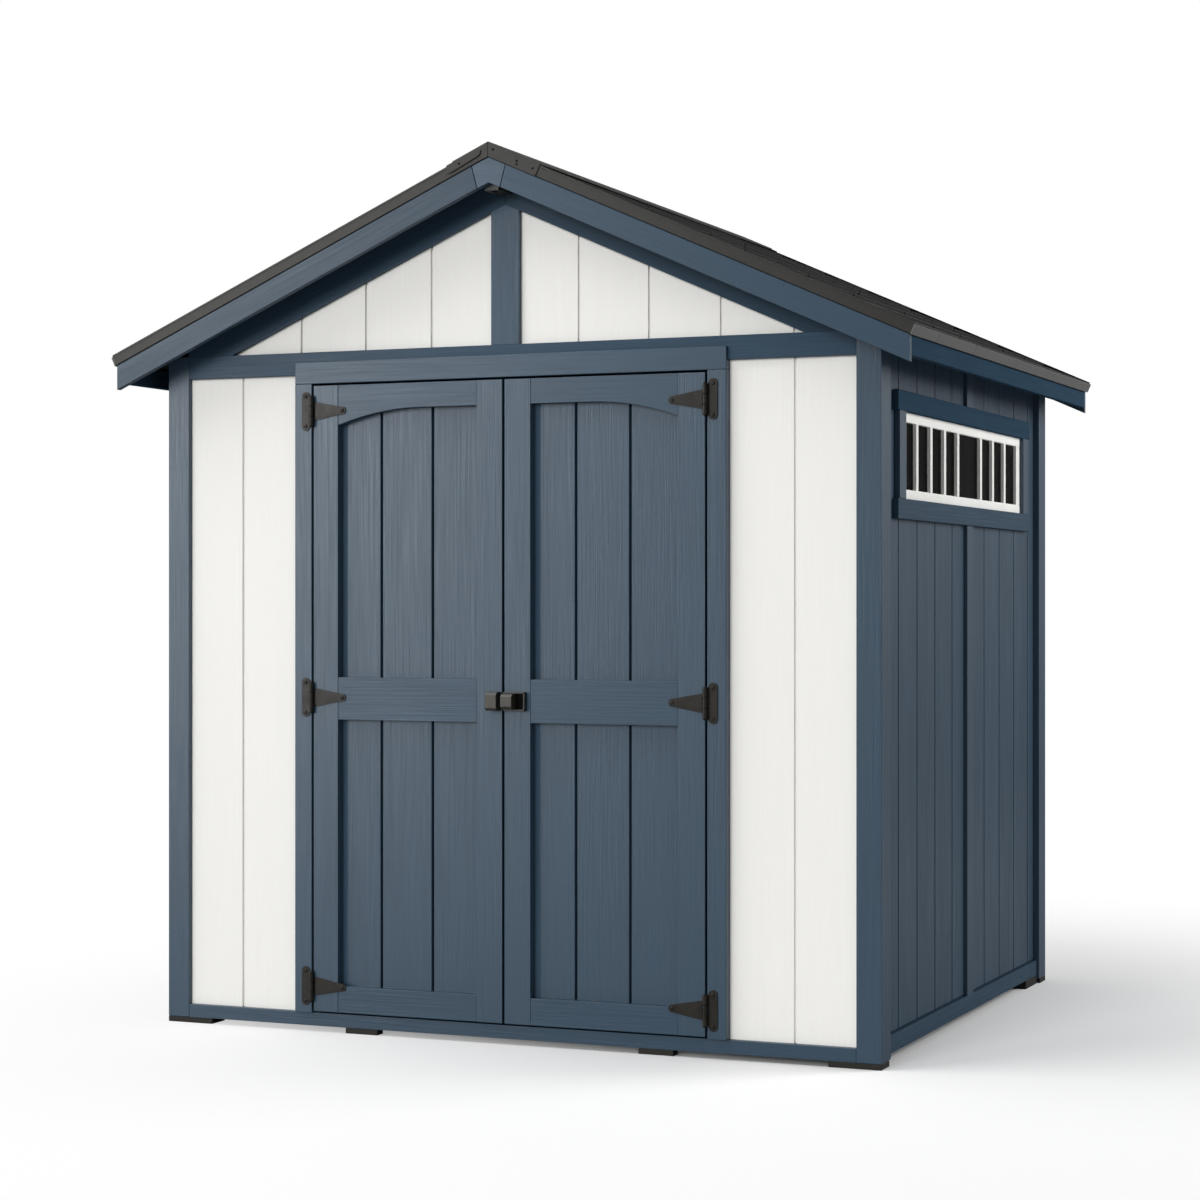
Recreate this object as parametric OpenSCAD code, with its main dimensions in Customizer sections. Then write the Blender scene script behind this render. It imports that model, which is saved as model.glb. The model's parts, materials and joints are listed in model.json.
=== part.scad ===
// Resin garden shed: gable roof, double doors in the front wall, a long barred window
// under the eaves of each side wall.
// Millimetres. +Z is up and the doors face -Y. The origin is on the ground, under the
// middle of the shed.

/* [Walls] */
// Width over the corner posts
wall_w = 2180; // [1700:10:3000]
// Depth over the corner posts
wall_d = 1840; // [1500:10:3000]
// Height of the roof's underside where it crosses the outer face of a side wall
wall_h = 1972; // [1960:1:2300]
// Thickness of a hollow moulded wall panel
panel_t = 20; // [14:1:40]
// How far the front and back panels sit behind the faces of the posts
front_recess = 16; // [8:1:30]
// How far the side panels sit behind the faces of the posts
side_recess = 19; // [12:1:30]
// Distance of the first grooves of the front and back walls from the middle
first_groove_x = 222; // [100:1:300]
// Spacing of the grooves in the front and back walls
front_board_w = 208; // [120:1:300]
// Distance of the first groove of a gable panel to the left of the middle
gable_groove_left = 235; // [150:1:300]
// Distance of the first groove of a gable panel to the right of the middle
gable_groove_right = 217; // [150:1:300]
// Spacing of the grooves in the gable panels
gable_board_w = 209; // [120:1:300]
// Spacing of the grooves in the side panels
side_board_w = 182; // [120:1:300]
// How far the grooves of the side panels sit behind the middle of the wall
side_groove_shift = 28; // [-90:1:90]
// How far the joint of the side panels sits behind the middle of the wall
seam_y = 10; // [-60:1:60]
// Width of a moulded groove across the mouth
groove_w = 9; // [4:1:16]

/* [Posts, rails and beams] */
// Width of a corner post on the front and back walls
post_w = 70; // [50:1:120]
// Width of a corner post on the side walls
post_side_w = 86; // [50:1:140]
// Height of the bottom rail of the front and back walls
front_rail_h = 38; // [25:1:80]
// Height of the bottom rail of the side walls
side_rail_h = 48; // [25:1:80]
// Height of the side rail's lower edge above the ground
side_rail_z = 27; // [20:1:60]
// How far the side rails and battens sit behind the faces of the posts
side_rail_recess = 8; // [2:1:11]
// Width of the batten that covers the joint in each side wall
batten_w = 68; // [40:1:120]
// Height of the tie beam's underside above the ground
tie_z = 1886; // [1878:1:1896]
// Height of the tie beam
tie_h = 65; // [40:1:70]
// Width of the king post in each gable
king_w = 86; // [50:1:160]
// Height of the raking frieze under the roof, measured plumb
frieze_h = 116; // [60:1:150]

/* [Ground] */
// Height of the pads that the shed stands on
pad_h = 16; // [8:1:20]
// Width of a corner pad
corner_pad_w = 148; // [90:1:200]
// Depth of a corner pad
corner_pad_d = 73; // [60:1:90]
// Distance of the pads under the front and back rails from the middle of the shed
rail_pad_x = 451; // [300:1:600]
// Width of a pad under a front or back rail
rail_pad_w = 103; // [60:1:160]
// Length of the pad under the back end of a side rail
side_pad_l = 142; // [80:1:200]
// Width of the pad under a side rail
side_pad_w = 80; // [50:1:120]
// Height of the floor above the ground
floor_z = 50; // [40:1:54]
// Thickness of the floor's deck
deck_t = 20; // [12:1:25]
// Number of runners under each floor panel
runners = 5; // [3:1:7]
// Width of a runner
runner_w = 40; // [25:1:60]
// Distance of the runners from the sides and ends of a floor panel
runner_inset = 110; // [90:1:160]

/* [Roof] */
// Roof pitch in degrees
roof_pitch = 24; // [18:1:30]
// Thickness of a roof panel at the butt of a shingle course
roof_t = 33; // [25:1:50]
// How far the eaves overhang the side walls
eave_out = 109; // [90:1:200]
// How far the roof overhangs the front and back walls
verge_out = 109; // [70:1:200]
// Length of slope that one shingle course shows
course_w = 165; // [120:1:260]
// Height of the step at the butt of each course
course_step = 9; // [4:1:14]
// Thickness of the trim moulding that covers the roof's cut edges
trim_t = 3; // [2:1:20]
// Plumb height of the barge boards
barge_h = 71; // [50:1:90]
// Thickness of the barge boards and fascias
barge_t = 20; // [12:1:30]
// Height of the eave fascia
fascia_h = 53; // [40:1:80]
// Width of the ridge cap on each slope
cap_w = 120; // [80:1:200]
// Thickness of the ridge cap
cap_t = 5; // [3:1:10]
// Length of slope that the ridge cap's end plates cover
cap_end_l = 172; // [100:1:300]
// Thickness of the ridge cap's end plates
cap_end_t = 3; // [2:0.5:5]
// How far the roof's lower edge runs past the fascia
fascia_inset = 1; // [1:1:30]
// Height of the drip moulding on the lower edge of each roof panel, square to the slope
drip_h = 33; // [18:1:40]
// Thickness of the drip moulding
drip_t = 6; // [4:1:12]
// Half width of the key between the barge boards, at the top
key_top = 51; // [30:1:70]
// Half width of the key at the bottom
key_bottom = 32; // [24:1:60]
// Width of the ridge beam
beam_w = 44; // [30:1:60]
// Height of the ridge beam
beam_h = 90; // [60:1:110]

/* [Doors] */
// Width of the doorway between its jambs
doorway_w = 1210; // [1000:10:1400]
// Height of the doors' lower edge above the ground
door_z = 60; // [58:1:80]
// Height of a door leaf
door_h = 1793; // [1600:1:1795]
// Thickness of the moulded frame on the outer face of a leaf
door_frame_t = 28; // [18:1:35]
// Thickness of the grooved sheet behind the frame
door_sheet_t = 20; // [12:1:24]
// Gap between a leaf and the jamb, sill and head
door_gap = 6; // [5.5:0.5:10]
// Gap between the two leaves
meeting_gap = 7; // [6.5:0.5:12]
// Width of a leaf's stiles
stile_w = 79; // [50:1:110]
// Height of a leaf's bottom rail
bottom_rail_h = 75; // [50:1:160]
// Height of a leaf's top rail at the meeting stile
top_rail_h = 70; // [50:1:120]
// Width of the first board of a leaf's sheet, counted from the left
first_board_w = 126; // [100:1:150]
// Width of the second board of a leaf's sheet
second_board_w = 162; // [120:1:180]
// Height of the middle rail's lower edge above the ground
mid_rail_z = 897; // [700:1:1100]
// Height of the middle rail
mid_rail_h = 121; // [60:1:200]
// Drop of the arch under the top rail
arch_drop = 45; // [10:1:80]
// Length over which the arch drops
arch_run = 260; // [150:1:350]
// Width of the casing at each side of the doorway
casing_w = 55; // [35:1:80]
// Height of the casing over the doorway
head_h = 63; // [40:1:80]
// How far the casing and the doors stand in front of the posts
casing_proud = 12; // [6:1:20]

/* [Hinges and latch] */
// Height of the strap hinges above the ground: bottom, middle and top
hinge_z = [132, 960, 1780];
// Radius of the hinge knuckles
knuckle_r = 7; // [5:0.5:7.5]
// Height of a hinge's barrel
barrel_h = 84; // [60:1:120]
// Radius of the hinge pin
hinge_pin_r = 3; // [2:0.5:4]
// Length of the tapered strap
strap_len = 100; // [60:1:200]
// Height of the strap beside the barrel
strap_h = 54; // [40:1:80]
// Radius of the strap's round tip
strap_tip_r = 11; // [6:1:16]
// Thickness of the hinge plates
hinge_t = 3; // [2:0.5:4]
// Width of the plate on the casing
plate_w = 26; // [20:1:34]
// Height of the plate on the casing
plate_h = 112; // [90:1:140]
// Height of the latch above the ground
latch_z = 957; // [920:1:990]
// Height of the latch
latch_h = 52; // [35:1:70]
// Width of the knob on each leaf
knob_w = 35; // [25:1:45]
// How far the knobs stand off the door
knob_d = 35; // [20:1:50]
// How far the latch slides open
latch_travel = 22; // [10:1:26]
// Distance of the knobs from the middle of the doorway
knob_gap = 6; // [4.5:0.5:10]
// Width of the bevel along a knob's outer edges
knob_bevel = 7; // [3:1:12]
// Thickness of the latch's base plate
latch_t = 5; // [3:1:8]
// Thickness of the rails that hold the sliding knob
channel_t = 4; // [3:1:6]
// How far the rails stand off the base plate
channel_h = 10; // [6:1:16]

/* [Windows] */
// Gap between the front corner post and the window casing
window_front_gap = 78; // [40:1:200]
// Gap between the window casing and the back corner post
window_back_gap = 119; // [40:1:200]
// Height of the window opening's lower edge above the ground
window_z = 1513; // [1300:1:1560]
// Height of the window opening
window_h = 238; // [150:1:245]
// Width of the casing at the sides of the window
window_casing_w = 61; // [40:1:80]
// Height of the casing above and below the window
window_casing_h = 55; // [40:1:60]
// How far the upper and lower casings run past the side casings
casing_horn = 17; // [0:1:30]
// How far the window casing stands off the boards
window_casing_t = 17; // [8:1:24]
// Width of the window frame's stiles
frame_stile_w = 44; // [25:1:60]
// Height of the window frame's rails
frame_rail_h = 27; // [20:1:50]
// Thickness of the window frame
frame_t = 24; // [18:1:30]
// Thickness of the clear pane
pane_t = 4; // [3:1:6]
// Width of an upright bar in the window
bar_w = 21; // [12:1:30]
// Depth of the bars in front of the pane
bar_d = 10; // [6:1:14]
// Spacing of the bars
bar_pitch = 143; // [90:1:240]
// Distance of the first bar from the front end of the window opening
front_bar_y = 149; // [90:1:240]
// Distance of the last bar from the back end of the window opening
back_bar_y = 192; // [90:1:240]
// Least distance of a bar from the joint of the side panels
bar_clear = 100; // [60:1:140]

/* [Hidden] */
$fn = 48;

// Colours of the mouldings
SLATE_BLUE = [0.33, 0.39, 0.46];
DARK_BLUE = [0.24, 0.29, 0.34];
OFF_WHITE = [0.93, 0.93, 0.91];
CHARCOAL = [0.22, 0.22, 0.21];
SHINGLE = [0.26, 0.26, 0.26];
BRONZE = [0.2, 0.19, 0.18];
FLOOR_GREY = [0.6, 0.6, 0.58];
CLEAR_PANE = [0.2, 0.25, 0.28];

// Hairline joint between like mouldings, and between the floor's decks and runners
joint_gap = 0.5;
// Overlap of the parts of one moulding
lap = 1;
// Clearance under the roof panels and over them
roof_gap = 0.3;
// Running clearance of the hinge pins and the latch
pin_fit = 0.05;
slide_fit = 0.5;
slide_gap = 0.3;
// Gap between the hinge knuckles and the door
knuckle_gap = 1;

half_w = wall_w / 2;
half_d = wall_d / 2;
rise = tan(roof_pitch);
inner_front = front_recess + panel_t;
inner_side = side_recess + panel_t;
front_rail_top = pad_h + front_rail_h;
side_rail_top = side_rail_z + side_rail_h;
tie_top = tie_z + tie_h;
tall = 4000;

// Apex of the roof's underside, and of what fits under it
ridge_z = wall_h + half_w * rise;
top_z = ridge_z - roof_gap;
plumb_t = roof_t / cos(roof_pitch);
cap_z = ridge_z + plumb_t + roof_gap;
cap_plumb = cap_t / cos(roof_pitch);
verge_y = -half_d - verge_out;
trim_y = verge_y - trim_t;
eave_d = half_w + eave_out;
fascia_d = eave_d - fascia_inset;
frieze_apex = ridge_z - frieze_h;

// How far the grooved sheet of a leaf is held back from the meeting edge
sheet_setback = 3;
leaf_w = (doorway_w - 2 * door_gap - meeting_gap) / 2;
jamb_x = doorway_w / 2;
door_top = door_z + door_h;
door_face = -half_d - casing_proud;
pivot_y = door_face - knuckle_r - knuckle_gap;
pivot_x = jamb_x - door_gap / 2;
window_y0 = -half_d + post_side_w + window_front_gap + casing_horn + window_casing_w;
window_y1 = half_d - post_side_w - window_back_gap - casing_horn - window_casing_w;
window_w = window_y1 - window_y0;
window_top = window_z + window_h;
boards_x = half_w - side_recess;
frame_x = half_w - inner_side;
pane_x = frame_x + frame_t - bar_d - pane_t;

// A box between two opposite corners
module block(lo, hi) translate(lo) cube(hi - lo);

// An X-Z outline run along Y from y0 to y1
module run_y(y0, y1) translate([0, y1, 0]) rotate([90, 0, 0]) linear_extrude(y1 - y0) children();

// A Y-Z outline run along X from x0 to x1
module run_x(x0, x1) translate([x0, 0, 0]) rotate([90, 0, 90]) linear_extrude(x1 - x0) children();

module both_sides() {
  children();
  mirror([1, 0, 0]) children();
}

module both_ends() {
  children();
  mirror([0, 1, 0]) children();
}

// X-Z outline of everything below a gable-shaped line whose top is at z on the centre line
module gable_outline(z) polygon([
  [-tall, z - tall * rise], [0, z], [tall, z - tall * rise], [tall, -tall], [-tall, -tall]
]);
module below_line(z) run_y(-tall, tall) gable_outline(z);
module under_roof() below_line(top_z);

// Plan of a panel along X with V grooves in its outer face, which lies at y = 0
module grooved_plan(x0, x1, t, grooves) difference() {
  translate([x0, 0]) square([x1 - x0, t]);
  for (g = grooves)
    if (g > x0 + groove_w && g < x1 - groove_w)
      translate([g, 0]) rotate(45) square(groove_w / sqrt(2), center = true);
}

front_grooves = [
  for (side = [-1, 1], x = [first_groove_x : front_board_w : half_w]) side * x
];
gable_grooves = concat(
  [for (x = [gable_groove_left : gable_board_w : half_w]) -x],
  [for (x = [gable_groove_right : gable_board_w : half_w]) x]
);
side_grooves = [
  for (k = [-ceil(half_d / side_board_w) : ceil(half_d / side_board_w)])
    side_groove_shift + k * side_board_w
];

// Pads under the corners and the front and back rails, with a taller one under the
// back end of each side rail
module ground_pads() color(CHARCOAL) both_sides() {
  both_ends() {
    translate([half_w - corner_pad_w, -half_d, 0]) cube([corner_pad_w, corner_pad_d, pad_h]);
    translate([rail_pad_x - rail_pad_w / 2, -half_d, 0])
      cube([rail_pad_w, front_recess + panel_t, pad_h]);
  }
  translate([half_w - side_rail_recess - side_pad_w, half_d - post_side_w - side_pad_l, 0])
    cube([side_pad_w, side_pad_l, side_rail_z]);
}

// Two floor panels side by side, each a deck on loose runners
module floor_panels() color(FLOOR_GREY) both_sides() {
  x1 = half_w - inner_side;
  y1 = half_d - inner_front;
  step = (x1 - 2 * runner_inset - runner_w) / (runners - 1);
  block([joint_gap, -y1, floor_z - deck_t], [x1, y1, floor_z]);
  for (i = [0 : runners - 1])
    translate([runner_inset + i * step, -y1 + runner_inset, 0])
      cube([runner_w, 2 * (y1 - runner_inset), floor_z - deck_t - joint_gap]);
}

module base_rails() color(SLATE_BLUE) both_ends()
  block([-half_w + post_w, -half_d, pad_h], [half_w - post_w, -half_d + inner_front, front_rail_top]);

module side_rails() color(DARK_BLUE) both_sides()
  block([half_w - inner_side, -half_d + post_side_w, side_rail_z],
    [half_w - side_rail_recess, half_d - post_side_w, side_rail_top]);

// L-shaped corner post: the front leg stops under the tie beam, the side leg meets the roof
module corner_post() color(SLATE_BLUE) intersection() {
  union() {
    block([half_w - post_w, -half_d, pad_h], [half_w, -half_d + inner_front, tie_z]);
    block([half_w - inner_side, -half_d + inner_front - lap, pad_h],
      [half_w, -half_d + post_side_w, tie_z]);
    block([half_w - inner_side, -half_d + inner_front, pad_h], [half_w, -half_d + post_side_w, tall]);
  }
  under_roof();
}
module front_right_post() corner_post();
module front_left_post() mirror([1, 0, 0]) corner_post();
module back_right_post() mirror([0, 1, 0]) corner_post();
module back_left_post() mirror([0, 1, 0]) mirror([1, 0, 0]) corner_post();

// Wall panel with its outer face turned to -Y, from x0 to x1 and z0 to z1
module front_panel(x0, x1, z0, z1, grooves) translate([0, -half_d + front_recess, z0])
  linear_extrude(z1 - z0) grooved_plan(x0, x1, panel_t, grooves);

module front_wall_right() color(OFF_WHITE)
  front_panel(jamb_x + casing_w, half_w - post_w, front_rail_top, tie_z, front_grooves);
module front_wall_left() mirror([1, 0, 0]) front_wall_right();
module back_wall() color(OFF_WHITE) mirror([0, 1, 0])
  front_panel(-half_w + post_w, half_w - post_w, front_rail_top, tie_z, front_grooves);

module tie_beams() color(SLATE_BLUE) both_ends() intersection() {
  block([-half_w, -half_d, tie_z], [half_w, -half_d + inner_front, tie_top]);
  under_roof();
}

module gable_panel() color(OFF_WHITE) intersection() {
  front_panel(-half_w, half_w, tie_top, ridge_z, gable_grooves);
  below_line(frieze_apex);
}
module front_gable() gable_panel();
module back_gable() mirror([0, 1, 0]) gable_panel();

module king_posts() color(SLATE_BLUE) both_ends() intersection() {
  block([-king_w / 2, -half_d, tie_top], [king_w / 2, -half_d + front_recess, tall]);
  below_line(frieze_apex);
}

// Raking boards between the gable panel and the roof, one each side of the ridge beam
module frieze() color(SLATE_BLUE) both_sides() run_y(-half_d, -half_d + inner_front) difference() {
  intersection() {
    translate([joint_gap / 2, tie_top]) square([half_w - joint_gap / 2, tall]);
    gable_outline(top_z);
  }
  gable_outline(frieze_apex);
  translate([0, ridge_z - beam_h]) square([beam_w / 2, tall]);
}
module front_frieze() frieze();
module back_frieze() mirror([0, 1, 0]) frieze();

module ridge_beam() color(CHARCOAL) run_y(verge_y + barge_t, -verge_y - barge_t) intersection() {
  translate([-beam_w / 2, ridge_z - beam_h]) square([beam_w, beam_h]);
  gable_outline(top_z);
}

// Plan of a side wall panel from y0 to y1, outer face towards +X, window opening cut out
module side_panel(y0, y1) intersection() {
  difference() {
    translate([boards_x, 0, side_rail_top]) rotate(90) linear_extrude(tall)
      grooved_plan(y0, y1, panel_t, side_grooves);
    block([frame_x - lap, window_y0, window_z], [half_w, window_y1, window_top]);
  }
  under_roof();
}
module right_wall_front() color(DARK_BLUE) side_panel(-half_d + post_side_w, seam_y - joint_gap / 2);
module right_wall_back() color(DARK_BLUE) side_panel(seam_y + joint_gap / 2, half_d - post_side_w);
module left_wall_front() mirror([1, 0, 0]) right_wall_front();
module left_wall_back() mirror([1, 0, 0]) right_wall_back();

// Battens over the joint in each side wall, below and above the window casing
module wall_battens() color(DARK_BLUE) both_sides() intersection() {
  union() {
    block([boards_x, seam_y - batten_w / 2, side_rail_top],
      [half_w - side_rail_recess, seam_y + batten_w / 2, window_z - window_casing_h]);
    block([boards_x, seam_y - batten_w / 2, window_top + window_casing_h],
      [half_w - side_rail_recess, seam_y + batten_w / 2, tall]);
  }
  under_roof();
}

// Roof slope: a moulding for each shingle course, thickest at its butt, hooked to the next.
// s runs down the slope from the ridge, n is square to the underside.
slope_len = eave_d / cos(roof_pitch);
courses = ceil(slope_len / course_w);
function course_top(k) = slope_len - (courses - k) * course_w;
function course_n(s, k) = roof_t - course_step * (course_top(k) - s) / course_w;

// Puts an s-n outline on the right slope, in X and Z
module on_slope() translate([0, ridge_z]) rotate(-roof_pitch) children();

module roof_slope() color(SHINGLE) for (k = [1 : courses]) {
  s0 = max(0, course_top(k - 1) + joint_gap);
  run_y(verge_y, -verge_y) on_slope() polygon([
    [s0, 0], [course_top(k), 0], [course_top(k), roof_t], [s0, course_n(s0, k)]
  ]);
}
module right_roof() roof_slope();
module left_roof() mirror([1, 0, 0]) roof_slope();

// Ridge cap: an angle moulding over the top courses, with an end plate that folds down over
// the verge trims at each end
module ridge_cap() color(CHARCOAL) {
  run_y(trim_y - cap_end_t / 2, -trim_y + cap_end_t / 2)
    cap_outline(cap_z + cap_plumb, cap_w, cap_t);
  both_ends() run_y(trim_y - cap_end_t, trim_y)
    cap_outline(cap_z + cap_plumb / 2, cap_end_l, cap_t / 2 + roof_t);
}

// X-Z outline of an angle along both slopes, its apex at the height top, l long on each
// slope and t thick
module cap_outline(top, l, t) {
  x = l * cos(roof_pitch);
  z = top - l * sin(roof_pitch);
  dx = t * sin(roof_pitch);
  dz = t * cos(roof_pitch);
  polygon([
    [0, top], [x, z], [x - dx, z - dz], [0, top - t / cos(roof_pitch)], [dx - x, z - dz], [-x, z]
  ]);
}

// X-Z outline of a raking board on the right slope: top line at z_top on the centre
// line, plumb height h, from d0 to d1
module raking(z_top, h, d0, d1) polygon([
  [d0, z_top - d0 * rise], [d1, z_top - d1 * rise],
  [d1, z_top - d1 * rise - h], [d0, z_top - d0 * rise - h]
]);

// X-Z outline of the tapered key between the barge boards, grown by g
module key_outline(g) polygon([
  [-key_top - g, tall], [key_top + g, tall],
  [key_top + g, top_z], [key_bottom + g, top_z - barge_h - 2 * key_bottom * rise],
  [-key_bottom - g, top_z - barge_h - 2 * key_bottom * rise], [-key_top - g, top_z]
]);

module barge_boards() color(SLATE_BLUE) both_sides() run_y(verge_y, verge_y + barge_t) difference() {
  raking(top_z, barge_h, 0, fascia_d);
  key_outline(joint_gap);
}
module front_barge_boards() barge_boards();
module back_barge_boards() mirror([0, 1, 0]) barge_boards();

module barge_keys() color(SLATE_BLUE) both_ends() run_y(verge_y, verge_y + barge_t) intersection() {
  union() {
    raking(top_z, barge_h, 0, key_top);
    mirror([1, 0]) raking(top_z, barge_h, 0, key_top);
  }
  key_outline(0);
}

// Dark trims over the cut ends of the roof panels, front and back
module verge_trims() color(CHARCOAL) both_ends() both_sides() run_y(trim_y, verge_y) intersection() {
  translate([joint_gap / 2, 0]) square([tall, tall]);
  on_slope() translate([-roof_t, 0]) square([slope_len + roof_t, roof_t]);
}

module eave_fascias() color(SLATE_BLUE) both_sides() intersection() {
  block([fascia_d - barge_t, verge_y + barge_t, ridge_z - fascia_d * rise - fascia_h],
    [fascia_d, -verge_y - barge_t, tall]);
  under_roof();
}

// Drip mouldings on the lower edges of the roof panels and the ends of the verge trims
module eave_drips() color(CHARCOAL) both_sides() run_y(trim_y, -trim_y)
  on_slope() translate([slope_len, 0]) square([drip_t, drip_h]);

// Boards of the door casing: the jambs close the wall beside the doorway
module door_jambs() color(SLATE_BLUE) both_sides()
  block([jamb_x, door_face, front_rail_top],
    [jamb_x + casing_w, -half_d + inner_front, door_top + door_gap]);

// The head casing laps over the tie beam
module door_head() color(SLATE_BLUE) run_x(-jamb_x - casing_w, jamb_x + casing_w) polygon([
  [door_face, door_top + door_gap], [-half_d + inner_front, door_top + door_gap],
  [-half_d + inner_front, tie_z], [-half_d, tie_z],
  [-half_d, door_top + door_gap + head_h], [door_face, door_top + door_gap + head_h]
]);

// Window casing: a moulded surround on the boards, its head and sill longer than its sides
module window_casings() color(DARK_BLUE) both_sides()
  run_x(boards_x, boards_x + window_casing_t) difference() {
    union() {
      translate([window_y0 - window_casing_w, window_z])
        square([window_w + 2 * window_casing_w, window_h]);
      for (z = [window_z - window_casing_h, window_top])
        translate([window_y0 - window_casing_w - casing_horn, z])
          square([window_w + 2 * (window_casing_w + casing_horn), window_casing_h]);
    }
    translate([window_y0, window_z]) square([window_w, window_h]);
  }

// Y-Z outline of the clear opening in the window frame
module frame_opening() translate([window_y0 + frame_stile_w, window_z + frame_rail_h])
  square([window_w - 2 * frame_stile_w, window_h - 2 * frame_rail_h]);

module window_frames() color(OFF_WHITE) both_sides() run_x(frame_x, frame_x + frame_t)
  difference() {
    translate([window_y0, window_z]) square([window_w, window_h]);
    frame_opening();
  }

// Upright bars in front of the pane, in two rows that leave the middle of the wall clear
front_bars = [for (y = [window_y0 + front_bar_y : bar_pitch : seam_y - bar_clear]) y];
back_bars = [for (y = [window_y1 - back_bar_y : -bar_pitch : seam_y + bar_clear]) y];
module window_bars() color(OFF_WHITE) both_sides() run_x(pane_x + pane_t, frame_x + frame_t)
  for (y = concat(front_bars, back_bars))
    translate([y - bar_w / 2, window_z + frame_rail_h]) square([bar_w, window_h - 2 * frame_rail_h]);

// Clear pane in the frame, behind the bars
module window_panes() color(CLEAR_PANE) both_sides() run_x(pane_x, pane_x + pane_t) frame_opening();

// Door leaf, drawn as the right-hand leaf: its hinge edge is at x1, its meeting edge at x0
leaf_x0 = meeting_gap / 2;
leaf_x1 = leaf_x0 + leaf_w;
field_x = leaf_x0 + stile_w;
field_w = leaf_w - 2 * stile_w;
arch_r = (arch_run * arch_run + arch_drop * arch_drop) / (2 * arch_drop);

module leaf_frame() color(SLATE_BLUE) run_y(door_face, door_face + door_frame_t) difference() {
  translate([leaf_x0, door_z]) square([leaf_w, door_h]);
  translate([field_x, door_z + bottom_rail_h])
    square([field_w, mid_rail_z - door_z - bottom_rail_h]);
  translate([field_x, mid_rail_z + mid_rail_h])
    arched_field(field_w, door_top - top_rail_h - mid_rail_z - mid_rail_h);
}

// Upper field of a leaf, w wide and h high, its top dropping in an arc towards the hinges
module arched_field(w, h) {
  square([w - arch_run, h]);
  intersection() {
    translate([w - arch_run, 0]) square([arch_run, h + arch_drop]);
    translate([w - arch_run, h - arch_r]) circle(r = arch_r, $fn = 180);
  }
}

// Grooved sheet that closes the leaf behind the frame, held back from the meeting edge. Both
// leaves have the same boards from left to right.
module leaf_sheet(grooves) color(SLATE_BLUE) translate([0, door_face + door_frame_t, door_z])
  linear_extrude(door_h)
    grooved_plan(leaf_x0 + sheet_setback, leaf_x1, door_sheet_t, grooves);

board_ends = [first_board_w, first_board_w + second_board_w];
module right_door_frame() leaf_frame();
module right_door_sheet() leaf_sheet([for (x = board_ends) field_x + x]);
module left_door_frame() mirror([1, 0, 0]) leaf_frame();
module left_door_sheet() mirror([1, 0, 0]) leaf_sheet([for (x = board_ends) field_x + field_w - x]);

// Strap hinges. The outer two knuckles belong to the casing plate and hold the pin, the
// middle one belongs to the strap. Drawn about the pin's axis, for the right-hand leaf.
knuckle_h = barrel_h / 3;
pad_y = -pivot_y + door_face;

module hinge_at_pins(side) for (z = hinge_z)
  translate([side * pivot_x, pivot_y, z]) mirror([side < 0 ? 1 : 0, 0, 0]) children();

module casing_half() {
  for (s = [-1, 1]) {
    translate([0, 0, s * (knuckle_h + joint_gap) - knuckle_h / 2])
      cylinder(r = knuckle_r, h = knuckle_h);
    translate([0, pad_y - hinge_t, s * (knuckle_h + joint_gap) - knuckle_h / 2])
      cube([strap_x + lap, hinge_t, knuckle_h]);
  }
  translate([0, 0, -knuckle_h * 1.5]) cylinder(r = hinge_pin_r, h = barrel_h);
  translate([strap_x, pad_y, 0]) rotate([90, 0, 0]) linear_extrude(hinge_t) {
    translate([plate_w / 2, 0]) square([plate_w, plate_h - plate_w], center = true);
    for (s = [-1, 1]) translate([plate_w / 2, s * (plate_h - plate_w) / 2]) circle(d = plate_w);
  }
}

module strap_half() difference() {
  union() {
    translate([0, 0, -knuckle_h / 2]) cylinder(r = knuckle_r, h = knuckle_h);
    translate([-strap_x - lap, pad_y - hinge_t, -knuckle_h / 2])
      cube([strap_x + lap, hinge_t, knuckle_h]);
    translate([0, pad_y, 0]) rotate([90, 0, 0]) linear_extrude(hinge_t) strap_outline();
  }
  translate([0, 0, -knuckle_h]) cylinder(r = hinge_pin_r + pin_fit, h = 2 * knuckle_h);
}

// Strap tapering from the barrel to tangent points on its round tip
strap_x = knuckle_r + knuckle_gap;
tip_x = strap_x + strap_len - strap_tip_r;
strap_tilt = atan((strap_h / 2 - strap_tip_r) / (strap_len - strap_tip_r));
module strap_outline() {
  translate([-tip_x, 0]) circle(r = strap_tip_r);
  polygon([
    [-strap_x, -strap_h / 2], [-strap_x, strap_h / 2],
    [-tip_x + strap_tip_r * sin(strap_tilt), strap_tip_r * cos(strap_tilt)],
    [-tip_x + strap_tip_r * sin(strap_tilt), -strap_tip_r * cos(strap_tilt)]
  ]);
}

module hinge_plates() color(BRONZE) for (side = [-1, 1]) hinge_at_pins(side) casing_half();
module right_hinge_straps() color(BRONZE) hinge_at_pins(1) strap_half();
module left_hinge_straps() color(BRONZE) hinge_at_pins(-1) strap_half();

// Slide latch: a fixed knob on the left leaf, a base plate with a channel on the right
// leaf, and a knob that slides in the channel.
// Y-Z outline of a knob with bevelled long edges, h high and d deep
module knob_outline(h, d) polygon([
  [0, -h / 2], [0, h / 2], [-d + knob_bevel, h / 2], [-d, h / 2 - knob_bevel],
  [-d, -h / 2 + knob_bevel], [-d + knob_bevel, -h / 2]
]);

module latch_keeper() color(BRONZE) translate([0, door_face, latch_z])
  run_x(-knob_gap - knob_w, -knob_gap) knob_outline(latch_h, knob_d);

module latch_base() color(BRONZE) translate([0, door_face, latch_z])
  run_x(knob_gap, knob_gap + knob_w + latch_travel + 2 * channel_t) difference() {
    translate([-latch_t - channel_h, -latch_h / 2]) square([latch_t + channel_h, latch_h]);
    translate([-latch_t - tall, -latch_h / 2 + channel_t]) square([tall, latch_h - 2 * channel_t]);
  }

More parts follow.
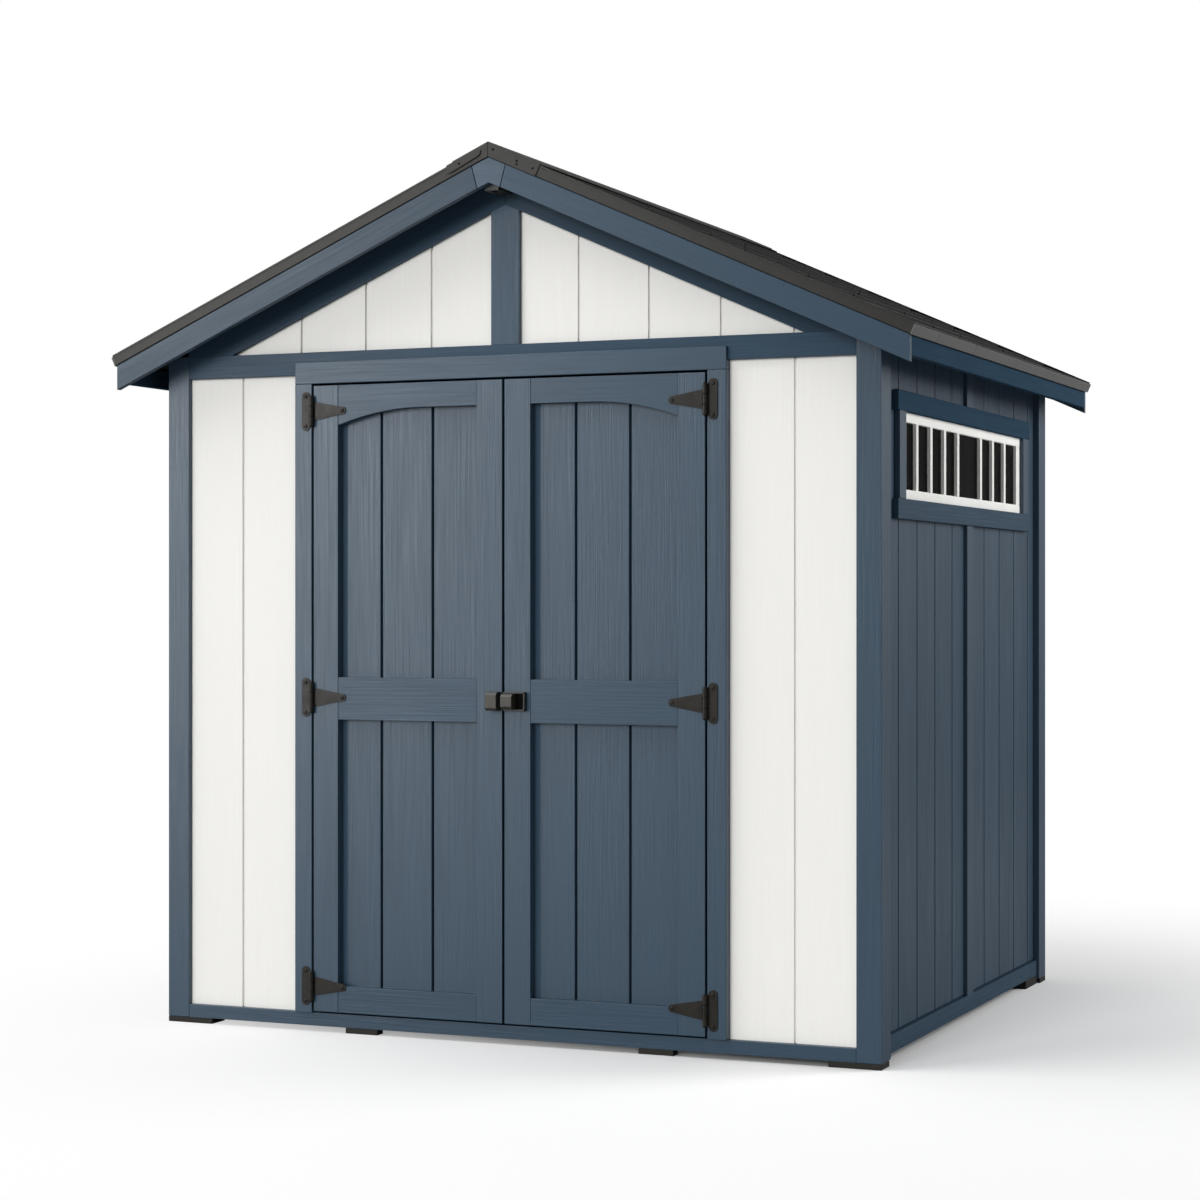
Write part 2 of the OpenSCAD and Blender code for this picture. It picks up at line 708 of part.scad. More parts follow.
module latch_slide() color(BRONZE) translate([0, door_face - latch_t - slide_gap, latch_z])
  run_x(knob_gap, knob_gap + knob_w)
    knob_outline(latch_h - 2 * channel_t - 2 * slide_fit, knob_d - latch_t);

ground_pads();
floor_panels();
base_rails();
side_rails();
front_left_post();
front_right_post();
back_left_post();
back_right_post();
front_wall_left();
front_wall_right();
back_wall();
left_wall_front();
left_wall_back();
right_wall_front();
right_wall_back();
wall_battens();
tie_beams();
front_gable();
back_gable();
king_posts();
front_frieze();
back_frieze();
ridge_beam();
left_roof();
right_roof();
ridge_cap();
front_barge_boards();
back_barge_boards();
barge_keys();
verge_trims();
eave_fascias();
eave_drips();
door_jambs();
door_head();
window_casings();
window_frames();
window_bars();
window_panes();
left_door_frame();
left_door_sheet();
right_door_frame();
right_door_sheet();
hinge_plates();
left_hinge_straps();
right_hinge_straps();
latch_keeper();
latch_base();
latch_slide();
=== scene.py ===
import json
import math
import random

import bmesh
import bpy
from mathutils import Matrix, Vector


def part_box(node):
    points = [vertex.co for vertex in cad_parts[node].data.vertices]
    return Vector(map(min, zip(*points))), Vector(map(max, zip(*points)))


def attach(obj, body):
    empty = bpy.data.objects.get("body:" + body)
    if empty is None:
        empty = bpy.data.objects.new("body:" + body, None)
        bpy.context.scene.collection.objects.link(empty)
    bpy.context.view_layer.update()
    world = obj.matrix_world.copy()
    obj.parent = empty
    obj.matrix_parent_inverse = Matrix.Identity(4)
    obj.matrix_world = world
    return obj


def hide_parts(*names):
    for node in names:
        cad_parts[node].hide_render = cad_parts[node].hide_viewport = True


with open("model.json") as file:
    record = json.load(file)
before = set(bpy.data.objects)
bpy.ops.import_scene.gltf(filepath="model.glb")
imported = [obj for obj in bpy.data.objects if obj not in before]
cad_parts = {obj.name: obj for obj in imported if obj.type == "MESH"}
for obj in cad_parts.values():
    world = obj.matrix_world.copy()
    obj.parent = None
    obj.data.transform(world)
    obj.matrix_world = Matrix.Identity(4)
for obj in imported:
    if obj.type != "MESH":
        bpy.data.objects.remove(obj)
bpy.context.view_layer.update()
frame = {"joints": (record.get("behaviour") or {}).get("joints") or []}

# ---- Ground pads ----
# Feet of black recycled plastic, moulded solid with a softened rim. One sits under each
# corner post, two under each front and back rail, and a tall one under the back end of
# each side rail. They lie loose on the slab and carry the shed's weight.
lot = random.Random(27)
PAD_RIM = 0.002


def blank():
    """An empty shape whose faces remember which board they belong to."""
    shape = bmesh.new()
    shape.faces.layers.float.new("board")
    return shape


def carry(shape, outline, along, start, end, grain=0, boards=None):
    """Carries a flat outline straight along an axis and closes its two ends.

    boards gives each edge of the outline its own board number."""
    place = {
        "x": lambda a, b, s: (s, a, b),
        "y": lambda a, b, s: (a, s, b),
        "z": lambda a, b, s: (a, b, s),
    }[along]
    board = shape.faces.layers.float["board"]
    near = [shape.verts.new(place(a, b, start)) for a, b in outline]
    far = [shape.verts.new(place(a, b, end)) for a, b in outline]
    faces = [shape.faces.new(near), shape.faces.new(far)]
    count = len(outline)
    for i in range(count):
        j = (i + 1) % count
        faces.append(shape.faces.new((near[i], near[j], far[j], far[i])))
    number = lot.random()
    for i, face in enumerate(faces):
        face.material_index = grain
        face[board] = boards[i - 2] if boards and i > 1 else number
    bmesh.ops.recalc_face_normals(shape, faces=faces)


def board_box(shape, lo, hi, grain=0):
    """A straight board between two opposite corners."""
    outline = [(lo[0], lo[2]), (hi[0], lo[2]), (hi[0], hi[2]), (lo[0], hi[2])]
    carry(shape, outline, "y", lo[1], hi[1], grain)


def mirrored(shape, axis):
    """Adds the other hand of everything in the shape."""
    board = shape.faces.layers.float["board"]
    copy = bmesh.ops.duplicate(shape, geom=shape.verts[:] + shape.edges[:] + shape.faces[:])
    flip = Vector((-1 if axis == "x" else 1, -1 if axis == "y" else 1, 1))
    faces = [part for part in copy["geom"] if isinstance(part, bmesh.types.BMFace)]
    for part in copy["geom"]:
        if isinstance(part, bmesh.types.BMVert):
            part.co = part.co * flip
    for face in faces:
        face[board] = (face[board] + 0.37) % 1
    bmesh.ops.reverse_faces(shape, faces=faces)


def finished(name, shape, body, coats, stands_for=(), edge=0.0015, steps=2):
    """Makes the piece, rounds its edges, gives it its coats and fixes it to its body."""
    mesh = bpy.data.meshes.new(name)
    shape.to_mesh(mesh)
    shape.free()
    mesh.polygons.foreach_set("use_smooth", [edge > 0] * len(mesh.polygons))
    piece = bpy.data.objects.new(name, mesh)
    bpy.context.scene.collection.objects.link(piece)
    for coat in coats:
        mesh.materials.append(coat)
    if edge:
        rounding = piece.modifiers.new("rounded edges", "BEVEL")
        rounding.width = edge
        rounding.segments = steps
        rounding.limit_method = "ANGLE"
        rounding.angle_limit = math.radians(28)
        rounding.harden_normals = True
    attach(piece, body)
    for node in stands_for:
        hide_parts(node)


def node(tree, kind, inputs=None, **settings):
    """Adds a shader node, sets its options and fills or wires its inputs."""
    made = tree.nodes.new(kind)
    for name, value in settings.items():
        setattr(made, name, value)
    for socket, value in (inputs or {}).items():
        if isinstance(value, bpy.types.NodeSocket):
            tree.links.new(value, made.inputs[socket])
        else:
            made.inputs[socket].default_value = value
    return made


def scaled(tree, vector, scale):
    """Stretches a coordinate by its own amount along each axis."""
    return node(tree, "ShaderNodeVectorMath", {0: vector, 1: scale},
                operation="MULTIPLY").outputs[0]


def blended(tree, factor, first, second):
    """Mixes two colours."""
    return node(tree, "ShaderNodeMix", {0: factor, 6: first, 7: second},
                data_type="RGBA").outputs[2]


def spread(tree, value, lo, hi, low=0.0, high=1.0, **settings):
    """Maps a value from one range to another."""
    return node(tree, "ShaderNodeMapRange", {"Value": value, "From Min": lo, "From Max": hi,
                                             "To Min": low, "To Max": high}, **settings).outputs[0]


def noise(tree, vector, scale, detail, roughness=0.5, distortion=0.0):
    """A cloudy value that drifts between nought and one."""
    return node(tree, "ShaderNodeTexNoise",
                {"Vector": vector, "Scale": scale, "Detail": detail, "Roughness": roughness,
                 "Distortion": distortion}).outputs[0]


def figured(tree, operation, *values):
    """Works out one sum, product or wave of the values."""
    return node(tree, "ShaderNodeMath", dict(enumerate(values)), operation=operation).outputs[0]


def pressed(tree, shader, height, strength, depth):
    """Presses a height into the coat's skin."""
    bump = node(tree, "ShaderNodeBump", {"Height": height, "Strength": strength,
                                         "Distance": depth})
    tree.links.new(bump.outputs[0], shader.inputs["Normal"])


def shade(red, green, blue):
    """A paint-chart colour, given as 0 to 255, in the linear values that shaders use."""
    chart = [c / 255 for c in (red, green, blue)]
    return tuple(c / 12.92 if c < 0.04045 else ((c + 0.055) / 1.055) ** 2.4 for c in chart) + (1,)


def tinted(colour, factor):
    """The same colour, lighter or darker."""
    return tuple(min(1, c * factor) for c in colour[:3]) + (1,)


def new_coat(name, roughness, specular):
    """An empty coat: its node tree, its shader, and the shed's own coordinates."""
    coat = bpy.data.materials.new(name)
    coat.use_nodes = True
    tree = coat.node_tree
    shader = tree.nodes["Principled BSDF"]
    shader.inputs["Roughness"].default_value = roughness
    shader.inputs["Specular IOR Level"].default_value = specular
    spot = node(tree, "ShaderNodeTexCoord").outputs["Object"]
    return coat, tree, shader, spot


def stippled_plastic(name, colour, roughness=0.55, grit=900, depth=0.0004, specular=0.25):
    """Moulded plastic with the fine stipple of a spark-eroded mould and faint flow marks."""
    coat, tree, shader, spot = new_coat(name, roughness, specular)
    stipple = noise(tree, spot, grit, 3, 0.6)
    flow = noise(tree, spot, 9, 3)
    tone = blended(tree, flow, tinted(colour, 0.84), tinted(colour, 1.16))
    speck = spread(tree, stipple, 0.3, 0.7)
    tree.links.new(blended(tree, speck, tone, tinted(colour, 1.1)), shader.inputs["Base Color"])
    rough = spread(tree, stipple, 0.3, 0.7, roughness - 0.06, roughness + 0.08)
    tree.links.new(rough, shader.inputs["Roughness"])
    pressed(tree, shader, stipple, 0.5, depth)
    return coat


pad_plastic = stippled_plastic("black_recycled_plastic", shade(38, 37, 34), 0.6, 700, 0.0006)
half_w, half_d, tall_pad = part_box("ground_pads")[1]
pad_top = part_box("front_right_post")[0].z
CORNER_PAD = (0.148, 0.073)
RAIL_PAD_X = (0.3995, 0.5025)
RAIL_PAD_DEEP = 0.036
BACK_PAD_IN = (0.088, 0.008)
BACK_PAD_FORWARD = (0.228, 0.086)
pads = blank()
board_box(pads, (half_w - CORNER_PAD[0], -half_d, 0), (half_w, -half_d + CORNER_PAD[1], pad_top))
board_box(pads, (RAIL_PAD_X[0], -half_d, 0), (RAIL_PAD_X[1], -half_d + RAIL_PAD_DEEP, pad_top))
mirrored(pads, "y")
board_box(pads, (half_w - BACK_PAD_IN[0], half_d - BACK_PAD_FORWARD[0], 0),
          (half_w - BACK_PAD_IN[1], half_d - BACK_PAD_FORWARD[1], tall_pad))
mirrored(pads, "x")
finished("ground_pads_black", pads, "root", [pad_plastic], ["ground_pads"], PAD_RIM)

# ---- Floor panels ----
# Two grey resin floor panels lie side by side. Each is blow-moulded in one piece with
# shallow treads along it and five runners under it, so that it stays off the slab.
TREAD = 0.040
TREAD_DEEP = 0.0015
SHELL = 0.020
RUNNER_HIGH = 0.031
RUNNER_WIDE = 0.040
RUNNER_IN = 0.110
floor_coat = stippled_plastic("grey_floor_resin", shade(150, 151, 148), 0.6, 500, 0.0006)
floor = blank()
deck_x, deck_y, floor_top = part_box("floor_panels")[1]
panel = [(0.0005, floor_top - SHELL), (deck_x, floor_top - SHELL), (deck_x, floor_top)]
treads = int(deck_x / TREAD)
for i in range(treads, 0, -1):
    middle = deck_x * (i - 0.5) / treads
    panel += [(middle + 0.013, floor_top), (middle + 0.011, floor_top - TREAD_DEEP),
              (middle - 0.011, floor_top - TREAD_DEEP), (middle - 0.013, floor_top)]
panel.append((0.0005, floor_top))
carry(floor, panel, "y", -deck_y, deck_y)
for i in range(5):
    x0 = RUNNER_IN + i * (deck_x - 2 * RUNNER_IN - RUNNER_WIDE) / 4
    board_box(floor, (x0, -deck_y + RUNNER_IN, 0),
              (x0 + RUNNER_WIDE, deck_y - RUNNER_IN, RUNNER_HIGH))
mirrored(floor, "x")
finished("floor_panels_treaded", floor, "root", [floor_coat], ["floor_panels"],
         0.0008)

# ---- Bottom rails ----
# Four rails of slate blue resin, moulded with a wood grain that runs along them, clip to
# the posts and tie the wall panels together at the bottom. The side rails sit a little
# higher and further in than the front and back ones.
SLATE = shade(50, 70, 87)
UPRIGHT = (0, 0, 0)
ALONG_X = (0, -math.pi / 2, 0)
ALONG_Y = (math.pi / 2, 0, 0)


def grained_resin(name, colour, lie, depth=0.0009, specular=0.5, roughness=0.36, rings=0.14,
                  contrast=1.0):
    """Solid-coloured resin with the grain of planed pine pressed into its skin.

    lie turns the shed's axes so that the grain runs along the upright one."""
    coat, tree, shader, spot = new_coat(name, roughness, specular)
    board = node(tree, "ShaderNodeAttribute", attribute_name="board").outputs["Fac"]
    facing = node(tree, "ShaderNodeVectorRotate", {"Vector": spot, "Rotation": lie},
                  rotation_type="EULER_XYZ").outputs[0]
    jump = scaled(tree, board, (3.1, 1.7, 13.0))
    laid = node(tree, "ShaderNodeVectorMath", {0: facing, 1: jump}, operation="ADD").outputs[0]
    # fine pores, a few millimetres apart and as long as a hand
    fine = noise(tree, scaled(tree, laid, (270, 270, 4.0)), 1, 4, 0.55)
    # year rings: evenly spaced lines bent by a slow noise into flames
    slow = noise(tree, scaled(tree, laid, (5.5, 5.5, 0.9)), 1, 2, 0.4)
    parts = node(tree, "ShaderNodeSeparateXYZ", {0: laid})
    across = figured(tree, "ADD", parts.outputs[0], parts.outputs[1])
    spaced = figured(tree, "MULTIPLY", across, 380.0)
    wave = figured(tree, "SINE", figured(tree, "MULTIPLY_ADD", slow, 40.0, spaced))
    patch = noise(tree, scaled(tree, laid, (14, 14, 3)), 1, 2)
    masked = figured(tree, "MULTIPLY", spread(tree, wave, -1, 1), spread(tree, patch, 0.42, 0.68))
    height = figured(tree, "MULTIPLY_ADD", masked, rings, fine)
    pressed(tree, shader, height, 0.6, depth)
    # valleys hold a little less light; boards and patches differ slightly in tone
    valley = blended(tree, spread(tree, height, 0.3, 0.8), tinted(colour, 1 - 0.26 * contrast),
                     tinted(colour, 1 + 0.20 * contrast))
    drift = noise(tree, scaled(tree, laid, (2.5, 2.5, 1.1)), 1, 3)
    weight = figured(tree, "MULTIPLY_ADD", spread(tree, drift, 0.3, 0.7), 0.6, board)
    worn = blended(tree, spread(tree, weight, 0, 1.6), tinted(colour, 1 - 0.07 * contrast),
                   tinted(colour, 1 + 0.07 * contrast))
    tree.links.new(blended(tree, 0.45, valley, worn), shader.inputs["Base Color"])
    rough = spread(tree, height, 0.3, 0.8, roughness + 0.08, roughness - 0.05)
    tree.links.new(rough, shader.inputs["Roughness"])
    return coat


slate_upright = grained_resin("slate_resin_upright_grain", SLATE, UPRIGHT)
slate_across = grained_resin("slate_resin_level_grain", SLATE, ALONG_X, specular=0.4)
slate_along = grained_resin("slate_resin_side_grain", SLATE, ALONG_Y, specular=0.08)
RAIL_THICK = 0.036
rail_end, _, rail_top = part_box("base_rails")[1]
rails = blank()
board_box(rails, (-rail_end, -half_d, pad_top), (rail_end, -half_d + RAIL_THICK, rail_top))
mirrored(rails, "y")
finished("bottom_rails_front_back", rails, "root", [slate_across], ["base_rails"])
side_rail_face, side_end, side_rail_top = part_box("side_rails")[1]
rails = blank()
board_box(rails, (deck_x, -side_end, tall_pad), (side_rail_face, side_end, side_rail_top))
mirrored(rails, "x")
finished("bottom_rails_sides", rails, "root", [slate_along], ["side_rails"])

# ---- Corner posts ----
# Four L-shaped corner posts of slate resin with an upright grain. Each clips round the
# edges of two wall panels, stands on its pad and runs up to the underside of the roof.
PITCH = math.radians(24)
ROOF_SLOPE = math.tan(PITCH)
OVER_ROOF = 2.5
under_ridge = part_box("ridge_beam")[1].z


def roof_at(x, below=0.0):
    """Height of the roof's underside at a distance from the middle of the shed."""
    return under_ridge - abs(x) * ROOF_SLOPE - below


for end, end_name in ((-1, "front"), (1, "back")):
    for side, side_name in ((-1, "left"), (1, "right")):
        post = blank()
        plan = [(rail_end, half_d), (half_w, half_d), (half_w, side_end), (deck_x, side_end),
                (deck_x, deck_y), (rail_end, deck_y)]
        carry(post, plan, "z", pad_top, OVER_ROOF)
        for vert in post.verts:
            if vert.co.z == OVER_ROOF:
                vert.co.z = roof_at(vert.co.x)
            vert.co.x *= side
            vert.co.y *= end
        bmesh.ops.recalc_face_normals(post, faces=post.faces)
        name = end_name + "_" + side_name + "_post"
        finished(name + "_grained", post, "root", [slate_upright], [name], 0.002)

# ---- Front and back wall panels ----
# Off-white resin panels, blow-moulded in one piece and scored with upright grooves so
# that they read as wide boards. They slide into the posts, the rails and the tie beams.
GROOVE = 0.0035
GROOVE_FLOOR = GROOVE * 0.8
GROOVE_DEEP = 0.008
LIP = 0.0012
UNCUT_EDGE = 0.012
BOARD_WIDE = 0.208


def scored(start, stop, face, back, lines, deep=GROOVE_DEEP):
    """Plan of a panel with a narrow groove at each line, and the board of each edge.

    face and back are where its outer and inner faces lie."""
    inward = 1 if back > face else -1
    plan = [(start, face)]
    boards = []
    number = lot.random()
    for line in sorted(x for x in lines if start + UNCUT_EDGE < x < stop - UNCUT_EDGE):
        plan += [(line - GROOVE - LIP, face), (line - GROOVE, face + inward * LIP),
                 (line - GROOVE_FLOOR, face + inward * deep),
                 (line + GROOVE_FLOOR, face + inward * deep),
                 (line + GROOVE, face + inward * LIP), (line + GROOVE + LIP, face)]
        boards += [number] * 6
        number = lot.random()
    plan += [(stop, face), (stop, back), (start, back)]
    boards += [number] * 4
    return plan, boards


WHITE = shade(233, 232, 228)
white_upright = grained_resin("white_resin_upright_grain", WHITE, UPRIGHT, depth=0.0004,
                              specular=0.3, roughness=0.55, rings=0.08, contrast=0.15)
front_lines = [side * (0.222 + i * BOARD_WIDE) for side in (-1, 1) for i in range(5)]
for wall_name in ("front_wall_left", "front_wall_right", "back_wall"):
    lo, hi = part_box(wall_name)
    face, back = (lo.y, hi.y) if lo.y < 0 else (hi.y, lo.y)
    wall = blank()
    plan, boards = scored(lo.x, hi.x, face, back, front_lines)
    carry(wall, plan, "z", lo.z, hi.z, boards=boards)
    finished(wall_name + "_boards", wall, "root", [white_upright], [wall_name],
             0.0006)

# ---- Side wall panels ----
# Each side wall is two slate resin panels, scored into narrower boards, that meet behind
# a batten. Their tops follow the roof, and the long window is cut out of both of them.
REBATE = 0.004
SIDE_BOARD = 0.182
window_lo, window_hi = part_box("window_frames")
slate_side = grained_resin("slate_resin_wall_grain", SLATE, UPRIGHT, specular=0.34, rings=0.25,
                           contrast=1.8)
side_lines = [0.028 + i * SIDE_BOARD for i in range(-6, 7)]


def joined(shape):
    """Welds shapes that meet face to face into one moulding, with nothing left inside."""
    met = {}
    for face in shape.faces:
        corners = frozenset(tuple(round(c, 5) for c in vert.co) for vert in face.verts)
        met.setdefault(corners, []).append(face)
    inside = [face for group in met.values() if len(group) > 1 for face in group]
    bmesh.ops.delete(shape, geom=inside, context="FACES_ONLY")
    bmesh.ops.remove_doubles(shape, verts=shape.verts, dist=1e-5)
    bmesh.ops.recalc_face_normals(shape, faces=shape.faces)


for side, side_name in ((-1, "left"), (1, "right")):
    for part in ("front", "back"):
        lo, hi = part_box("right_wall_" + part)
        wall = blank()
        if part == "front":
            stretches = ((lo.y, window_lo.y, True), (window_lo.y, hi.y, False))
        else:
            stretches = ((lo.y, window_hi.y, False), (window_hi.y, hi.y, True))
        for y0, y1, whole in stretches:
            plan, boards = scored(y0, y1, hi.x, lo.x, side_lines)
            bands = [(lo.z + REBATE, window_lo.z), (window_hi.z, OVER_ROOF)]
            if whole:
                bands.append((window_lo.z, window_hi.z))
            for z0, z1 in bands:
                carry(wall, [(x, y) for y, x in plan], "z", z0, z1, boards=boards)
            board_box(wall, (lo.x, y0, lo.z), (hi.x - GROOVE_DEEP, y1, lo.z + REBATE))
        for vert in wall.verts:
            if vert.co.z == OVER_ROOF:
                vert.co.z = roof_at(vert.co.x)
            vert.co.x *= side
        joined(wall)
        finished(side_name + "_wall_" + part + "_boards", wall, "root",
                 [slate_side], [side_name + "_wall_" + part], 0.0006)

# ---- Battens ----
# A flat slate batten covers the joint in the middle of each side wall, below and above
# the window's casing. It snaps into the joint and stands out as far as the bottom rail.
casing_lo, casing_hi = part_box("window_casings")
lo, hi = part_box("wall_battens")
wall_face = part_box("right_wall_front")[1].x
battens = blank()
for z0, z1 in ((lo.z, casing_lo.z), (casing_hi.z, roof_at(hi.x))):
    board_box(battens, (wall_face, lo.y, z0), (hi.x, hi.y, z1))
mirrored(battens, "x")
finished("wall_battens_grained", battens, "root", [slate_upright],
         ["wall_battens"])

# ---- Tie beams, gables and king posts ----
# A slate tie beam crosses the top of the front and back walls. The white gable panel
# stands on it, a short king post divides the gable, and raking frieze boards close it
# under the roof, one each side of the ridge beam.
tie_foot, tie_top = (corner.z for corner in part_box("tie_beams"))
beams = blank()
board_box(beams, (-rail_end, -half_d, tie_foot), (rail_end, -half_d + RAIL_THICK, tie_top))
mirrored(beams, "y")
shaded_slate = grained_resin("slate_resin_tie_beam", SLATE, ALONG_X, specular=0.15)
finished("tie_beams_grained", beams, "root", [shaded_slate], ["tie_beams"])

FRIEZE = 0.116
GABLE_BOARD = 0.209
gable_lines = [-0.235 - i * GABLE_BOARD for i in range(4)]
gable_lines += [0.217 + i * GABLE_BOARD for i in range(4)]
reach = (roof_at(0, FRIEZE) - tie_top) / ROOF_SLOPE


def under_frieze(start, stop, foot):
    """X-Z outline of the part of the gable between two upright lines."""
    top = [(x, roof_at(x, FRIEZE)) for x in (start, stop)]
    if start < 0 < stop:
        top.insert(1, (0, roof_at(0, FRIEZE)))
    return [(stop, foot), (start, foot)] + top


def through(shape, outline, end, outer, inner, grain=0):
    """An X-Z outline carried from an outer to an inner depth, at the front (-1) or back (1)."""
    near, far = sorted((end * outer, end * inner))
    carry(shape, outline, "y", near, far, grain)


gable_back, gable_face = (corner.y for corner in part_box("back_gable"))
cuts = [x for x in gable_lines if abs(x) < reach - 0.02]
cuts = sorted([-reach + 0.002, reach - 0.002] + cuts)
for end, end_name in ((-1, "front"), (1, "back")):
    gable = blank()
    for start, stop in zip(cuts, cuts[1:]):
        x0 = start + (GROOVE if start in gable_lines else 0)
        x1 = stop - (GROOVE if stop in gable_lines else 0)
        through(gable, under_frieze(x0, x1, tie_top), end, gable_face,
                gable_face - GROOVE_DEEP - 0.0004)
    through(gable, under_frieze(cuts[0], cuts[-1], tie_top), end, gable_face - GROOVE_DEEP,
            gable_back)
    finished(end_name + "_gable_boards", gable, "root", [white_upright],
             [end_name + "_gable"], 0.0012)

king_slate = grained_resin("slate_resin_king_post", SLATE, UPRIGHT, specular=0.3)
king_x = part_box("king_posts")[1].x
KING_THICK = 0.016
kings = blank()
carry(kings, under_frieze(-king_x, king_x, tie_top), "y", -half_d, -half_d + KING_THICK)
mirrored(kings, "y")
finished("king_posts_grained", kings, "root", [king_slate], ["king_posts"],
         0.0004)

RAKE_RIGHT = (0, -math.pi / 2 - PITCH, 0)
RAKE_LEFT = (0, math.pi / 2 + PITCH, 0)


def rake(shape, outline, end, outer, inner):
    """A raking board on the right slope, and its fellow on the left one."""
    through(shape, outline, end, outer, inner, 0)
    through(shape, [(-x, z) for x, z in outline], end, outer, inner, 1)


# The frieze boards take a darker copy of the slate with little sheen: painted shade for their
# place under the barge boards and the roof.
frieze_painted_shade_coats = [grained_resin("slate_resin_frieze_painted_shade_" + hand, tinted(SLATE, 0.8), lie, specular=0.1)
                for hand, lie in (("right", RAKE_RIGHT), ("left", RAKE_LEFT))]
BEAM_DEEP = 0.090
beam_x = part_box("ridge_beam")[1].x
outline = [(0.0003, roof_at(0, FRIEZE)), (reach, tie_top), (half_w - 0.001, tie_top),
           (half_w - 0.001, roof_at(half_w - 0.001)), (beam_x, roof_at(beam_x)),
           (beam_x, roof_at(0, BEAM_DEEP)), (0.0003, roof_at(0, BEAM_DEEP))]
for end, end_name in ((-1, "front"), (1, "back")):
    frieze = blank()
    rake(frieze, outline, end, half_d, half_d - RAIL_THICK)
    finished(end_name + "_frieze_grained", frieze, "root", frieze_painted_shade_coats,
             [end_name + "_frieze"], 0.0004)

# ---- Ridge beam ----
# A black-painted steel box beam runs under the ridge from barge board to barge board and
# carries both roof slopes. A plated bolt holds each end to the key of the barge boards.
def painted_steel(name, colour, roughness, specular=0.5):
    """Steel under a baked powder coat, with the coat's faint orange peel."""
    coat, tree, shader, spot = new_coat(name, roughness, specular)
    rub = noise(tree, spot, 35, 4)
    tone = blended(tree, spread(tree, rub, 0.35, 0.65), tinted(colour, 0.85), tinted(colour, 1.2))
    tree.links.new(tone, shader.inputs["Base Color"])
    rough = spread(tree, rub, 0.3, 0.7, roughness - 0.07, roughness + 0.09)
    tree.links.new(rough, shader.inputs["Roughness"])
    pressed(tree, shader, noise(tree, spot, 420, 2), 0.35, 0.0005)
    return coat


def turned(shape, profile, centre, axis, steps=24):
    """A round part: pairs of radius and distance along its axis, turned about the axis."""
    rings = []
    aim = Vector(axis).normalized().to_track_quat("Z", "Y")
    for radius, rise in profile:
        ring = []
        for i in range(steps):
            a = 2 * math.pi * i / steps
            spot = Vector((radius * math.cos(a), radius * math.sin(a), rise))
            ring.append(shape.verts.new(Vector(centre) + aim @ spot))
        rings.append(ring)
    faces = [shape.faces.new(rings[0][::-1]), shape.faces.new(rings[-1])]
    for lower, upper in zip(rings, rings[1:]):
        for i in range(steps):
            j = (i + 1) % steps
            faces.append(shape.faces.new((lower[i], lower[j], upper[j], upper[i])))
    bmesh.ops.recalc_face_normals(shape, faces=faces)


black_steel = painted_steel("black_painted_steel", shade(40, 40, 41), 0.45)
# The bolts are coloured a dark brown, near black.
dark_bolt = painted_steel("plated_bolt_steel", shade(26, 21, 19), 0.55, specular=0.2)
beam_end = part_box("ridge_beam")[1].y
beam = blank()
outline = [(-beam_x, roof_at(0, BEAM_DEEP)), (beam_x, roof_at(0, BEAM_DEEP)),
           (beam_x, roof_at(beam_x)), (0, under_ridge), (-beam_x, roof_at(beam_x))]
carry(beam, outline, "y", -beam_end, beam_end)
finished("ridge_beam_steel", beam, "root", [black_steel], ["ridge_beam"], 0.002)
BOLT_IN = 0.019
BOLT = ((0.010, 0), (0.010, 0.0012), (0.006, 0.0016), (0.006, 0.0036), (0.0045, 0.0045))
bolts = blank()
for end in (-1, 1):
    spot = (0, end * (beam_end - BOLT_IN), roof_at(0, BEAM_DEEP))
    turned(bolts, BOLT, spot, (0, 0, -1), steps=18)
finished("ridge_beam_bolts", bolts, "root", [dark_bolt], (), 0)

# ---- Roof slopes ----
# Each slope is a charcoal resin deck moulded as courses of slates. The slates differ a
# little in width and thickness, and every course laps over the one below it.
ridge = under_ridge + 0.0003
ROOF_THICK = 0.033
DECK_THICK = 0.0225
COURSE = 0.165
COURSES = 8
SLATE_WIDE = 0.262
WIDTH_SPREAD = 0.045
NARROWEST = 0.03
LAST_STRIP = 0.05
SLATE_GAP = 0.004
STAGGER = 0.130
roof_x, verge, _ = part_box("right_roof")[1]
slope_long = roof_x / math.cos(PITCH) - ROOF_THICK * ROOF_SLOPE


def on_slope(s, n):
    """A point s down the right slope from the ridge and n out from the roof's underside."""
    return (s * math.cos(PITCH) + n * math.sin(PITCH),
            ridge - s * math.sin(PITCH) + n * math.cos(PITCH))


def slate_texture(name, colour):
    """Charcoal resin moulded from riven slate: ridges down the slope and a gritty skin."""
    coat, tree, shader, spot = new_coat(name, 0.6, 0.35)
    board = node(tree, "ShaderNodeAttribute", attribute_name="board").outputs["Fac"]
    jump = scaled(tree, board, (5.0, 9.0, 4.0))
    laid = node(tree, "ShaderNodeVectorMath", {0: spot, 1: jump}, operation="ADD").outputs[0]
    riven = noise(tree, scaled(tree, laid, (11, 34, 11)), 1, 5, 0.6, 0.6)
    grit = noise(tree, spot, 420, 2)
    pressed(tree, shader, figured(tree, "MULTIPLY_ADD", grit, 0.18, riven), 0.7, 0.0035)
    tone = blended(tree, spread(tree, riven, 0.3, 0.7), tinted(colour, 0.78),
                   tinted(colour, 1.22))
    each = blended(tree, board, tinted(colour, 0.8), tinted(colour, 1.22))
    tree.links.new(blended(tree, 0.5, tone, each), shader.inputs["Base Color"])
    return coat


